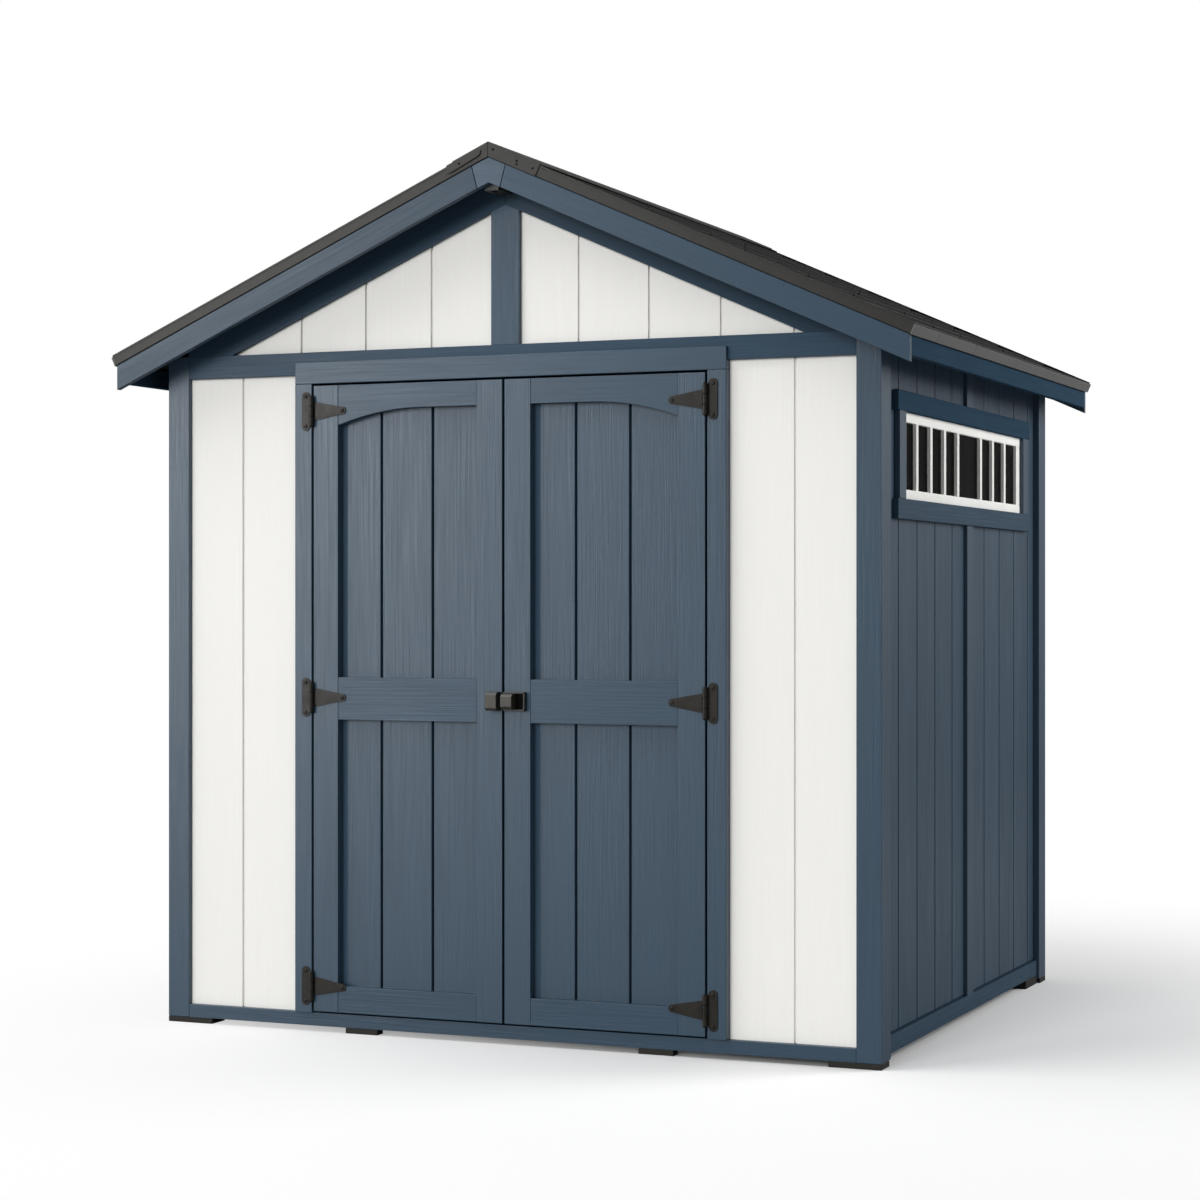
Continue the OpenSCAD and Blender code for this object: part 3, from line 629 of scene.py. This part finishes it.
slate_skin = slate_texture("charcoal_slate_resin", shade(24, 24, 24))
for side, side_name in ((1, "right"), (-1, "left")):
    slope = blank()
    deck = [(0, 0), (slope_long, 0), (slope_long, DECK_THICK), (0, DECK_THICK)]
    outline = [on_slope(s, n) for s, n in deck]
    carry(slope, [(x * side, z) for x, z in outline], "y", -verge, verge)
    for course in range(1, COURSES + 1):
        butt = slope_long - (COURSES - course) * COURSE
        back = max(0.004, butt - COURSE)
        y = -verge - (0.0 if course % 2 else STAGGER)
        while y < verge - 0.02:
            wide = SLATE_WIDE + lot.uniform(-WIDTH_SPREAD, WIDTH_SPREAD)
            y0 = max(-verge, y + SLATE_GAP / 2)
            y1 = min(verge, y + wide - SLATE_GAP / 2)
            if verge - y1 < LAST_STRIP:
                y1 = verge
            if y1 - y0 > NARROWEST:
                sunk = lot.uniform(0.0, 0.0018)
                short = lot.uniform(0.0, 0.004) if course < COURSES else 0.0
                slate = [(back, DECK_THICK - 0.0015), (butt - short, DECK_THICK - 0.0015),
                         (butt - short, ROOF_THICK - sunk), (back, DECK_THICK + 0.0013)]
                outline = [on_slope(s, n) for s, n in slate]
                carry(slope, [(x * side, z) for x, z in outline], "y", y0, y1)
            y = y1 + SLATE_GAP / 2 if y1 < verge else verge
    finished(side_name + "_roof_slates", slope, "root", [slate_skin],
             [side_name + "_roof"], 0.0012, 1)

# ---- Ridge cap ----
# Charcoal resin caps snap over the top courses, butted end to end over short sleeves.
# Each end cap carries a plate that folds down over the verge trims, screwed to them.
cap_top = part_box("ridge_cap")[1].z
CAP_WING = 0.120
CAP_STEEP = 0.005 / math.cos(PITCH)
CAP_GAP = 0.0016
SLEEVE_HALF = 0.020
charcoal = stippled_plastic("charcoal_trim_resin", shade(33, 32, 28), 0.45, 800, 0.0004, 0.35)


def cap_outline(inner, outer, wing):
    """X-Z outline of an angle over the ridge between two heights at the ridge line."""
    x = wing * math.cos(PITCH)
    fall = wing * math.sin(PITCH)
    return [(0, outer), (x, outer - fall), (x, inner - fall), (0, inner),
            (-x, inner - fall), (-x, outer - fall)]


cap = blank()
cap_joints = [-1.0335, -0.6, -0.2, 0.2, 0.6, 1.0335]
outline = cap_outline(cap_top - CAP_STEEP, cap_top, CAP_WING)
for y0, y1 in zip(cap_joints, cap_joints[1:]):
    carry(cap, outline, "y", y0 + CAP_GAP / 2, y1 - CAP_GAP / 2)
outline = cap_outline(cap_top - CAP_STEEP - 0.0002, cap_top - 0.0022, CAP_WING - 0.002)
for y in cap_joints[1:-1]:
    carry(cap, outline, "y", y - SLEEVE_HALF, y + SLEEVE_HALF)
plate_top = cap_top - CAP_STEEP / 2
PLATE_DROP = 0.0355 / math.cos(PITCH)
PLATE_RIGHT = 0.157
PLATE_LEFT = 0.127
PLATE_FACE = 1.0338


def plate_outline(points, end):
    """X-Z points of an end plate, from their distance from the ridge and depth below its top."""
    return [(-end * d, plate_top - abs(d) * ROOF_SLOPE - low) for d, low in points]


right_plate = [(0.0004, 0), (PLATE_RIGHT, 0), (PLATE_RIGHT - 0.0144, PLATE_DROP),
               (0.0004, PLATE_DROP)]
left_plate = [(-0.0004, 0), (-0.0004, PLATE_DROP), (-0.018, PLATE_DROP), (-0.0195, 0.012),
              (-0.022, 0.012), (-0.024, 0.019), (-0.030, 0.023), (-0.115, 0.0265),
              (-PLATE_LEFT, 0.024), (-PLATE_LEFT, 0)]
for end in (-1, 1):
    for plate in (right_plate, left_plate):
        through(cap, plate_outline(plate, end), end, PLATE_FACE, PLATE_FACE - 0.0018)
finished("ridge_cap_lengths", cap, "root", [charcoal], ["ridge_cap"], 0.0007)

# This near-black coat is the black of the screw heads, and on the pressed lines it is painted
# shade for the creases in the end plates.
black_screws_and_crease_shade = painted_steel("black_screw_heads_and_crease_shade", shade(6, 6, 6), 0.5, specular=0.1)
pressed_path = [(-0.0205, 0.008), (-0.0215, 0.014), (-0.0235, 0.0190), (-0.030, 0.0225),
                (-0.060, 0.0245), (-0.100, 0.0262), (-0.118, 0.0264)]
pressed_lines = blank()
for end in (-1, 1):
    for (d0, low0), (d1, low1) in zip(pressed_path, pressed_path[1:]):
        line = [(d0, low0), (d1, low1), (d1, low1 + 0.0011), (d0, low0 + 0.0011)]
        if abs(d1 - d0) < 0.004:
            line = [(d0, low0), (d1, low1), (d1 + 0.0013, low1), (d0 + 0.0013, low0)]
        through(pressed_lines, plate_outline(line, end), end, PLATE_FACE + 0.0004,
                PLATE_FACE - 0.0001)
finished("ridge_cap_pressed_lines_painted_shade", pressed_lines, "root", [black_screws_and_crease_shade], (), 0)

SCREW = ((0.0034, 0), (0.0034, 0.0005), (0.0026, 0.0010), (0.0014, 0.0012), (0.0012, 0.0006))
screw_places = [(0.016, 0.014), (0.087, 0.018), (0.087, 0.027), (0.135, 0.020), (-0.088, 0.014)]
cap_screws = blank()
for end in (-1, 1):
    for x, z in plate_outline(screw_places, end):
        turned(cap_screws, SCREW, (x, end * (PLATE_FACE - 0.0001), z), (0, end, 0), steps=14)
finished("ridge_cap_screws", cap_screws, "root", [black_screws_and_crease_shade], (), 0)

# ---- Verge trims ----
# Charcoal resin trims cover the cut edges of both slopes at the front and back. Each is
# one length with a thin lip along its top edge, a little proud of the barge board below.
def trim_outline(low, high):
    """X-Z outline of a strip along the right slope between two heights over its underside."""
    foot = ridge + low / math.cos(PITCH)
    head = ridge + high / math.cos(PITCH)
    return [(0.0003, foot), on_slope(slope_long, low), on_slope(slope_long, high), (0.0003, head)]


trim_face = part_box("verge_trims")[0].y
TRIM_LIP = 0.006
trims = blank()
carry(trims, trim_outline(0.0018, ROOF_THICK), "y", trim_face + 0.0009, -verge)
carry(trims, trim_outline(ROOF_THICK - TRIM_LIP, ROOF_THICK), "y", trim_face, -verge)
mirrored(trims, "x")
mirrored(trims, "y")
finished("verge_trims_lipped", trims, "root", [charcoal], ["verge_trims"], 0.0006)

# ---- Barge boards and their keys ----
# Slate barge boards with a grain along them hang from the roof's edges in front of the
# gables. A tapered key closes the joint between each pair under the ridge.
BARGE = 0.071
BARGE_THICK = 0.020
KEY_TOP = 0.051
KEY_FOOT = 0.032
board_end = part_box("front_barge_boards")[1].x
# The barge boards take darker copies of the slate, those on the left slope darker still: painted
# shade.
barge_painted_shade_coats = [
    grained_resin("slate_resin_right_rake_painted_shade", tinted(SLATE, 0.92), RAKE_RIGHT, specular=0.3),
    grained_resin("slate_resin_left_rake_painted_shade", tinted(SLATE, 0.80), RAKE_LEFT, specular=0.3),
]
outline = [(KEY_TOP + 0.0006, roof_at(KEY_TOP)), (board_end, roof_at(board_end)),
           (board_end, roof_at(board_end, BARGE)), (KEY_FOOT + 0.0032, roof_at(KEY_FOOT, BARGE))]
for end, end_name in ((-1, "front"), (1, "back")):
    barge = blank()
    rake(barge, outline, end, verge, verge - BARGE_THICK)
    finished(end_name + "_barge_boards_grained", barge, "root", barge_painted_shade_coats,
             [end_name + "_barge_boards"], 0.0018)
key_side = [(KEY_TOP, roof_at(KEY_TOP)), (KEY_FOOT + 0.002, roof_at(KEY_FOOT, BARGE))]
keys = blank()
outline = [(0, under_ridge)] + key_side + [(0, roof_at(0, BARGE))]
outline += [(-x, z) for x, z in reversed(key_side)]
carry(keys, outline, "y", -verge, -verge + BARGE_THICK)
mirrored(keys, "y")
finished("barge_keys_grained", keys, "root", [slate_across], ["barge_keys"], 0.0018)

# ---- Eave fascias and drips ----
# Slate fascia boards close the eaves between the barge boards. Over each one a grey resin
# drip strip, in five lengths, covers the roof's lower edge and the ends of the trims.
# The fascias, and the head and sill of each window casing, take a darker copy of the slate with no
# sheen: painted shade.
shaded_along = grained_resin("slate_resin_eave_painted_shade", tinted(SLATE, 0.88), ALONG_Y,
                             specular=0.0)
FASCIA_HIGH = 0.0527
lo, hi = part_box("eave_fascias")
fascias = blank()
board_box(fascias, (hi.x - BARGE_THICK, lo.y, roof_at(hi.x, FASCIA_HIGH)),
          (hi.x, hi.y, roof_at(hi.x)))
mirrored(fascias, "x")
finished("eave_fascias_grained", fascias, "root", [shaded_along],
         ["eave_fascias"], 0.0018)
DRIP_TOP = 0.0285
DRIP_THICK = 0.006
drip_grey = stippled_plastic("grey_drip_resin", shade(86, 86, 85), 0.5, 800, 0.0003, 0.4)
drips = blank()
outline = [on_slope(slope_long + out, n) for out, n in
           ((0, 0), (DRIP_THICK, 0), (DRIP_THICK, DRIP_TOP), (0, DRIP_TOP))]
drip_joints = [trim_face, -0.80, -0.42, 0.05, 0.52, -trim_face]
for y0, y1 in zip(drip_joints, drip_joints[1:]):
    carry(drips, outline, "y", y0 + 0.0006, y1 - 0.0006)
mirrored(drips, "x")
finished("eave_drips_lengths", drips, "root", [drip_grey], ["eave_drips"], 0.0012)

# ---- Window casings ----
# A slate surround is screwed on over the boards of each side wall. Its head and sill run
# past its side pieces, and all four are butted together.
SIDE_WIDE = 0.061
casings = blank()
for z0, z1, grain in ((casing_lo.z, window_lo.z, 2), (window_hi.z, casing_hi.z, 0)):
    board_box(casings, (wall_face, casing_lo.y, z0), (casing_hi.x, casing_hi.y, z1), grain)
for y0 in (window_lo.y - SIDE_WIDE, window_hi.y):
    board_box(casings, (wall_face, y0, window_lo.z),
              (casing_hi.x - 0.0008, y0 + SIDE_WIDE, window_hi.z), 1)
mirrored(casings, "x")
# Head and sill wear the darker eave coat, painted shade; the side pieces wear the plain slate.
finished("window_casings_boards", casings, "root",
         [shaded_along, slate_upright, slate_along], ["window_casings"], 0.0018)

# ---- Window frames, bars and panes ----
# A white resin frame sits in the wall's opening. Four upright bars and then three, with
# softened edges, stand before one clear polycarbonate pane that is held in the frame. Here
# the pane is tinted almost black, painted shade for the dark inside of the shed.
BAR_WIDE = 0.021
BAR_STEP = 0.143
pane_lo, pane_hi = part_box("window_panes")
PANE_THICK = 0.004
wall_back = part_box("right_wall_front")[0].x
frame_face = window_hi.x
white_smooth = stippled_plastic("white_window_resin", shade(236, 236, 232), 0.4, 500, 0.0002)
frames = blank()
for z0, z1 in ((window_lo.z, pane_lo.z), (pane_hi.z, window_hi.z)):
    board_box(frames, (wall_back, window_lo.y, z0), (frame_face, window_hi.y, z1))
for y0, y1 in ((window_lo.y, pane_lo.y), (pane_hi.y, window_hi.y)):
    board_box(frames, (wall_back, y0, pane_lo.z), (frame_face - 0.0006, y1, pane_hi.z))
mirrored(frames, "x")
finished("window_frames_moulded", frames, "root", [white_smooth],
         ["window_frames"], 0.0015)
bars = blank()
bar_places = [-0.529 + i * BAR_STEP for i in range(4)] + [0.159 + i * BAR_STEP for i in range(3)]
for y in bar_places:
    board_box(bars, (pane_hi.x, y - BAR_WIDE / 2, pane_lo.z),
              (frame_face, y + BAR_WIDE / 2, pane_hi.z))
mirrored(bars, "x")
finished("window_bars_moulded", bars, "root", [white_smooth], ["window_bars"],
         0.0006)
# Near-black tint: painted shade for the dark inside of the shed.
clear, tree, shader, spot = new_coat("polycarbonate_painted_shade", 0.06, 0.0)
shader.inputs["Transmission Weight"].default_value = 0.8
shader.inputs["IOR"].default_value = 1.06
streaks = noise(tree, scaled(tree, spot, (40, 40, 1.5)), 1, 3)
tree.links.new(blended(tree, spread(tree, streaks, 0.35, 0.65), (0.006, 0.006, 0.006, 1),
                       (0.020, 0.020, 0.021, 1)), shader.inputs["Base Color"])
tree.links.new(spread(tree, streaks, 0.3, 0.7, 0.10, 0.22), shader.inputs["Roughness"])
panes = blank()
board_box(panes, (pane_hi.x - PANE_THICK, pane_lo.y, pane_lo.z), pane_hi)
mirrored(panes, "x")
finished("window_panes_painted_shade", panes, "root", [clear], ["window_panes"], 0)

# ---- Door casing ----
# Slate casing boards frame the doorway: two jambs that close the wall beside it, and a
# head that laps over the tie beam. They stand a little in front of the posts.
JAMB_WIDE = 0.055
(_, door_face, _), (casing_x, casing_back, jamb_top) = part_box("door_jambs")
jambs = blank()
for side in (-1, 1):
    x0, x1 = sorted((side * (casing_x - JAMB_WIDE), side * casing_x))
    board_box(jambs, (x0, door_face, rail_top), (x1, casing_back, jamb_top))
finished("door_jambs_grained", jambs, "root", [slate_upright], ["door_jambs"],
         0.002)
head_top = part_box("door_head")[1].z
head = blank()
outline = [(door_face, jamb_top), (casing_back, jamb_top), (casing_back, tie_foot),
           (-half_d, tie_foot), (-half_d, head_top), (door_face, head_top)]
carry(head, outline, "x", -casing_x, casing_x)
finished("door_head_grained", head, "root", [slate_across], ["door_head"], 0.002)

# ---- Door leaves ----
# Each leaf is a slate frame of two stiles and three rails over a sheet scored into three
# boards. The top rail is arched on its lower edge, dropping towards the hinges.
STILE_WIDE = 0.079
FOOT_RAIL = 0.075
MID_RAIL = (0.897, 1.018)
HEAD_RAIL = 0.070
ARCH_RUN = 0.260
ARCH_FALL = 0.045
ARCH_STEPS = 24
RAIL_SHY = 0.0009
SHEET_BOARDS = (0.126, 0.288)
leaf_lo, leaf_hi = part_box("right_door_frame")
sheet_lo, sheet_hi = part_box("right_door_sheet")
field = (leaf_lo.x + STILE_WIDE, leaf_hi.x - STILE_WIDE)
rail_face = leaf_lo.y + RAIL_SHY
arch_top = leaf_hi.z - HEAD_RAIL
arch_radius = (ARCH_RUN ** 2 + ARCH_FALL ** 2) / (2 * ARCH_FALL)
arch = []
for i in range(ARCH_STEPS + 1):
    run = ARCH_RUN * i / ARCH_STEPS
    drop = arch_radius - math.sqrt(arch_radius ** 2 - run ** 2)
    arch.append((field[1] - ARCH_RUN + run, arch_top - drop))
for side, side_name in ((-1, "left"), (1, "right")):
    leaf = blank()
    for x0 in (leaf_lo.x, field[1]):
        board_box(leaf, (x0, leaf_lo.y, leaf_lo.z), (x0 + STILE_WIDE, leaf_hi.y, leaf_hi.z), 0)
    for z0, z1 in ((leaf_lo.z, leaf_lo.z + FOOT_RAIL), MID_RAIL):
        board_box(leaf, (field[0], rail_face, z0), (field[1], leaf_hi.y, z1), 1)
    outline = [(field[1], leaf_hi.z), (field[0], leaf_hi.z), (field[0], arch_top)] + arch
    carry(leaf, outline, "y", rail_face, leaf_hi.y, 1)
    for vert in leaf.verts:
        vert.co.x *= side
    finished(side_name + "_door_frame_boards", leaf, side_name + "_door",
             [slate_upright, slate_across], [side_name + "_door_frame"], 0.0012)
    sheet = blank()
    start = field[0] if side > 0 else field[1]
    lines = [start + side * board for board in SHEET_BOARDS]
    plan, boards = scored(sheet_lo.x, sheet_hi.x, sheet_lo.y, sheet_hi.y, lines, 0.014)
    carry(sheet, [(x * side, y) for x, y in plan], "z", sheet_lo.z, sheet_hi.z, boards=boards)
    finished(side_name + "_door_sheet_boards", sheet, side_name + "_door",
             [slate_upright], [side_name + "_door_sheet"], 0.0006)

# ---- Strap hinges ----
# Six powder-coated steel strap hinges carry the leaves. A rounded plate is screwed to the
# jamb, a tapered strap to the leaf, and a pin runs through the three knuckles between.
bronze = painted_steel("dark_bronze_powder_coat", shade(29, 27, 22), 0.4, specular=0.3)
HINGE_HEIGHTS = (0.132, 0.960, 1.780)
KNUCKLE = 0.007
BARREL = 0.028
BARREL_GAP = 0.0005
PLATE_THICK = 0.003
PLATE_ROUND = 0.013
PLATE_HOLE = (0.021, 0.043)
STRAP_HALF = 0.027
STRAP_TIP = 0.011
STRAP_LONG = 0.089
STRAP_ROOT = -0.008
RIB_ROOT = -0.010
RIB_HALF = STRAP_HALF - 0.008
RIB_TIP = STRAP_TIP - 0.0045
RIB_PROUD = 0.0009
TIP_X = -0.097
hinge = next(joint for joint in frame["joints"] if joint["name"] == "right_door_hinge")
pin_x, pin_y, _ = hinge["pos_m"]
plate_face = door_face - PLATE_THICK
strap_tilt = math.degrees(math.atan((STRAP_HALF - STRAP_TIP) / STRAP_LONG))


def rounded_end(centre, radius, start, stop, steps=10):
    """Points round part of a circle, between two angles in degrees."""
    angles = [math.radians(start + (stop - start) * i / steps) for i in range(steps + 1)]
    return [(centre[0] + radius * math.cos(a), centre[1] + radius * math.sin(a)) for a in angles]


def hung_on_pin(shape, height, side=1):
    """Moves what was last drawn about the origin to a hinge's pin."""
    for vert in shape.verts:
        if not vert.tag:
            vert.co.x = (vert.co.x + pin_x) * side
            vert.co.z += height
            vert.tag = True


HINGE_SCREW = ((0.0058, 0), (0.0058, 0.0008), (0.0048, 0.0022), (0.0026, 0.0028),
               (0.0022, 0.0013))
KNUCKLE_SHAPE = ((0.0058, -BARREL / 2), (KNUCKLE, -BARREL / 2 + 0.0012),
                 (KNUCKLE, BARREL / 2 - 0.0012), (0.0058, BARREL / 2))
for side, side_name in ((-1, "left"), (1, "right")):
    straps = blank()
    for height in HINGE_HEIGHTS:
        outline = [(STRAP_ROOT, -STRAP_HALF), (STRAP_ROOT, STRAP_HALF)]
        outline += rounded_end((TIP_X, 0), STRAP_TIP, 90 - strap_tilt, 270 + strap_tilt)
        carry(straps, outline, "y", plate_face, door_face)
        rib = [(RIB_ROOT, -RIB_HALF), (RIB_ROOT, RIB_HALF)]
        rib += rounded_end((TIP_X, 0), RIB_TIP, 90 - strap_tilt, 270 + strap_tilt)
        carry(straps, rib, "y", plate_face - RIB_PROUD, plate_face + 0.0004)
        board_box(straps, (-0.009, plate_face, -BARREL / 2), (0.001, door_face, BARREL / 2))
        turned(straps, KNUCKLE_SHAPE, (0, pin_y, 0), (0, 0, 1))
        turned(straps, HINGE_SCREW, (TIP_X, plate_face - 0.0005, 0), (0, -1, 0), steps=18)
        hung_on_pin(straps, height, side)
    finished(side_name + "_hinge_straps_steel", straps, side_name + "_door", [bronze],
             [side_name + "_hinge_straps"], 0.0006)

PIN_HEAD = ((0.0045, 0), (0.0062, 0.0006), (0.0058, 0.002), (0.003, 0.0032))
hole_x, hole_z = PLATE_HOLE
plates = blank()
for height in HINGE_HEIGHTS:
    outline = rounded_end((hole_x, hole_z), PLATE_ROUND, 0, 180)
    outline += rounded_end((hole_x, -hole_z), PLATE_ROUND, 180, 360)
    carry(plates, outline, "y", plate_face, door_face)
    for end in (-1, 1):
        middle = end * (BARREL + BARREL_GAP)
        board_box(plates, (-0.001, plate_face, middle - BARREL / 2),
                  (0.009, door_face, middle + BARREL / 2))
        turned(plates, KNUCKLE_SHAPE, (0, pin_y, middle), (0, 0, 1))
        turned(plates, PIN_HEAD, (0, pin_y, middle + end * BARREL / 2), (0, 0, end), steps=18)
        turned(plates, HINGE_SCREW, (hole_x, plate_face, end * hole_z), (0, -1, 0), steps=18)
    hung_on_pin(plates, height)
mirrored(plates, "x")
finished("hinge_plates_steel", plates, "root", [bronze], ["hinge_plates"], 0.0006)

# ---- Slide latch ----
# A fixed knob on the left leaf and a knob that slides in a channel on the right leaf meet
# over the gap. Both are die-cast, bevelled along their long edges and powder-coated.
KNOB_BEVEL = 0.007
RIM = 0.004
BASE_THICK = 0.005
base_lo, base_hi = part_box("latch_base")


def knob(shape, lo, hi):
    """A knob between two corners, bevelled along the edges of its front."""
    outline = [(hi.y, lo.z), (hi.y, hi.z), (lo.y + KNOB_BEVEL, hi.z), (lo.y, hi.z - KNOB_BEVEL),
               (lo.y, lo.z + KNOB_BEVEL), (lo.y + KNOB_BEVEL, lo.z)]
    carry(shape, outline, "x", lo.x, hi.x)


cast_bronze = painted_steel("cast_bronze_powder_coat", shade(48, 46, 40), 0.34)
# The back of the channel, between its rims, is painted near black: painted shade for the slot.
slot_painted_shade = painted_steel("black_slot_painted_shade", shade(12, 12, 12), 0.6, specular=0.1)
keeper = blank()
knob(keeper, *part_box("latch_keeper"))
finished("latch_keeper_cast", keeper, "left_door", [cast_bronze], ["latch_keeper"],
         0.0016, 3)
base = blank()
board_box(base, (base_lo.x, base_hi.y - BASE_THICK, base_lo.z), base_hi, 1)
rim_back = base_hi.y - BASE_THICK + 0.001
for z0 in (base_lo.z, base_hi.z - RIM):
    board_box(base, (base_lo.x, base_lo.y, z0), (base_hi.x, rim_back, z0 + RIM))
board_box(base, (base_hi.x - RIM, base_lo.y, base_lo.z), (base_hi.x, rim_back, base_hi.z))
finished("latch_base_channel", base, "right_door", [cast_bronze, slot_painted_shade],
         ["latch_base"], 0.0008)
slide = blank()
knob(slide, *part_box("latch_slide"))
finished("latch_slide_knob", slide, "latch", [cast_bronze], ["latch_slide"], 0.0016, 3)

# ---- Studio ----
# The shed stands on a pale, seamless floor that runs out of sight under a white sky. A low
# key in front lights the doors, one lamp on the left makes their sheen, one overhead lights
# the floor and one on the right lifts the side wall.
ground = bpy.data.meshes.new("studio_floor")
sweep = bmesh.new()
bmesh.ops.create_circle(sweep, cap_ends=True, radius=60, segments=96)
sweep.to_mesh(ground)
sweep.free()
floor_piece = bpy.data.objects.new("studio_floor", ground)
bpy.context.scene.collection.objects.link(floor_piece)
paper = bpy.data.materials.new("white_paper")
paper.use_nodes = True
tree = paper.node_tree
tree.nodes.clear()
output = node(tree, "ShaderNodeOutputMaterial")
spot = node(tree, "ShaderNodeTexCoord").outputs["Object"]
# To the camera the floor fades to white glow with distance from a point right of the shed; far off
# it meets the white sky, and nearer the glow is painted light that lifts the shed's shadow on its
# left.
FADE_MIDDLE = (1.5, -0.2, 0)
FADE = (0.8, 3.9)
far = node(tree, "ShaderNodeVectorMath", {0: spot, 1: FADE_MIDDLE},
           operation="DISTANCE").outputs["Value"]
mottle = noise(tree, spot, 3, 4)
pale = blended(tree, mottle, (0.896, 0.896, 0.896, 1), (0.906, 0.906, 0.906, 1))
dull = blended(tree, mottle, (0.50, 0.50, 0.50, 1), (0.51, 0.51, 0.51, 1))
path = node(tree, "ShaderNodeLightPath")
bounced = blended(tree, path.outputs["Is Glossy Ray"], dull, (0.24, 0.24, 0.24, 1))
tone = blended(tree, path.outputs["Is Camera Ray"], bounced, pale)
lit = node(tree, "ShaderNodeBsdfDiffuse", {"Color": tone})
glow = node(tree, "ShaderNodeEmission", {"Color": (1, 1, 1, 1), "Strength": 1.0})
fade = spread(tree, far, *FADE, interpolation_type="SMOOTHSTEP")
glare = figured(tree, "MULTIPLY", fade, path.outputs["Is Camera Ray"])
mix = node(tree, "ShaderNodeMixShader", {0: glare, 1: lit.outputs[0], 2: glow.outputs[0]})
tree.links.new(mix.outputs[0], output.inputs[0])
ground.materials.append(paper)

sky = bpy.data.worlds.new("studio_sky")
bpy.context.scene.world = sky
sky.use_nodes = True
tree = sky.node_tree
tree.nodes.clear()
output = node(tree, "ShaderNodeOutputWorld")
path = node(tree, "ShaderNodeLightPath")
seen = figured(tree, "MAXIMUM", path.outputs["Is Camera Ray"], path.outputs["Is Transmission Ray"])
aim = node(tree, "ShaderNodeTexCoord").outputs["Generated"]
sideways = node(tree, "ShaderNodeSeparateXYZ", {0: aim}).outputs[0]
DOME = 0.34
SHINE_LEFT = 1.5
SHINE_RIGHT = 0.30
shine = spread(tree, sideways, -0.64, -0.36, SHINE_LEFT, SHINE_RIGHT,
               interpolation_type="SMOOTHSTEP")
dome, sheen, white = (
    node(tree, "ShaderNodeBackground", {"Color": (1, 1, 1, 1), "Strength": strength}).outputs[0]
    for strength in (DOME, shine, 1.0))
mix = node(tree, "ShaderNodeMixShader", {0: path.outputs["Is Glossy Ray"], 1: dome, 2: sheen})
mix = node(tree, "ShaderNodeMixShader", {0: seen, 1: mix.outputs[0], 2: white})
tree.links.new(mix.outputs[0], output.inputs[0])


def soft_lamp(name, spot, aim, size, power, matt=True, tall=None):
    """A soft lamp, hung at spot and turned towards aim; matt ones add to diffuse light."""
    lamp = bpy.data.lights.new(name, "AREA")
    lamp.shape = "RECTANGLE"
    lamp.size = size
    lamp.size_y = tall or size
    lamp.energy = power
    hung = bpy.data.objects.new(name, lamp)
    bpy.context.scene.collection.objects.link(hung)
    hung.location = spot
    hung.rotation_euler = (Vector(aim) - Vector(spot)).to_track_quat("-Z", "Y").to_euler()
    hung.visible_diffuse = matt


soft_lamp("left_softbox", (-5.2, -8.2, 3.0), (-0.8, -0.9, 1.6), 1.4, 330, False, 6.0)
soft_lamp("overhead_softbox", (-2.8, -2.6, 7.0), (-0.2, -0.4, 0), 5.0, 328)
soft_lamp("right_softbox", (6.7, 3.2, 3.9), (1.1, 0, 1.1), 3.4, 372)

key = bpy.data.lights.new("front_key", "SUN")
key.angle = math.radians(22)
key.energy = 1.72
key_stand = bpy.data.objects.new("front_key", key)
bpy.context.scene.collection.objects.link(key_stand)
key_stand.rotation_euler = (math.radians(77), 0, math.radians(-9))
key_stand.visible_glossy = False

camera = bpy.data.cameras.new("front_right_camera")
camera.lens = 80.54
camera.sensor_width = 36
camera.shift_y = 0.0026
stand = bpy.data.objects.new("front_right_camera", camera)
bpy.context.scene.collection.objects.link(stand)
stand.location = (3.1384, -7.7156, 1.230)
stand.rotation_euler = (math.pi / 2, 0, math.radians(22.763))
bpy.context.scene.camera = stand
bpy.context.scene.view_settings.view_transform = "Standard"
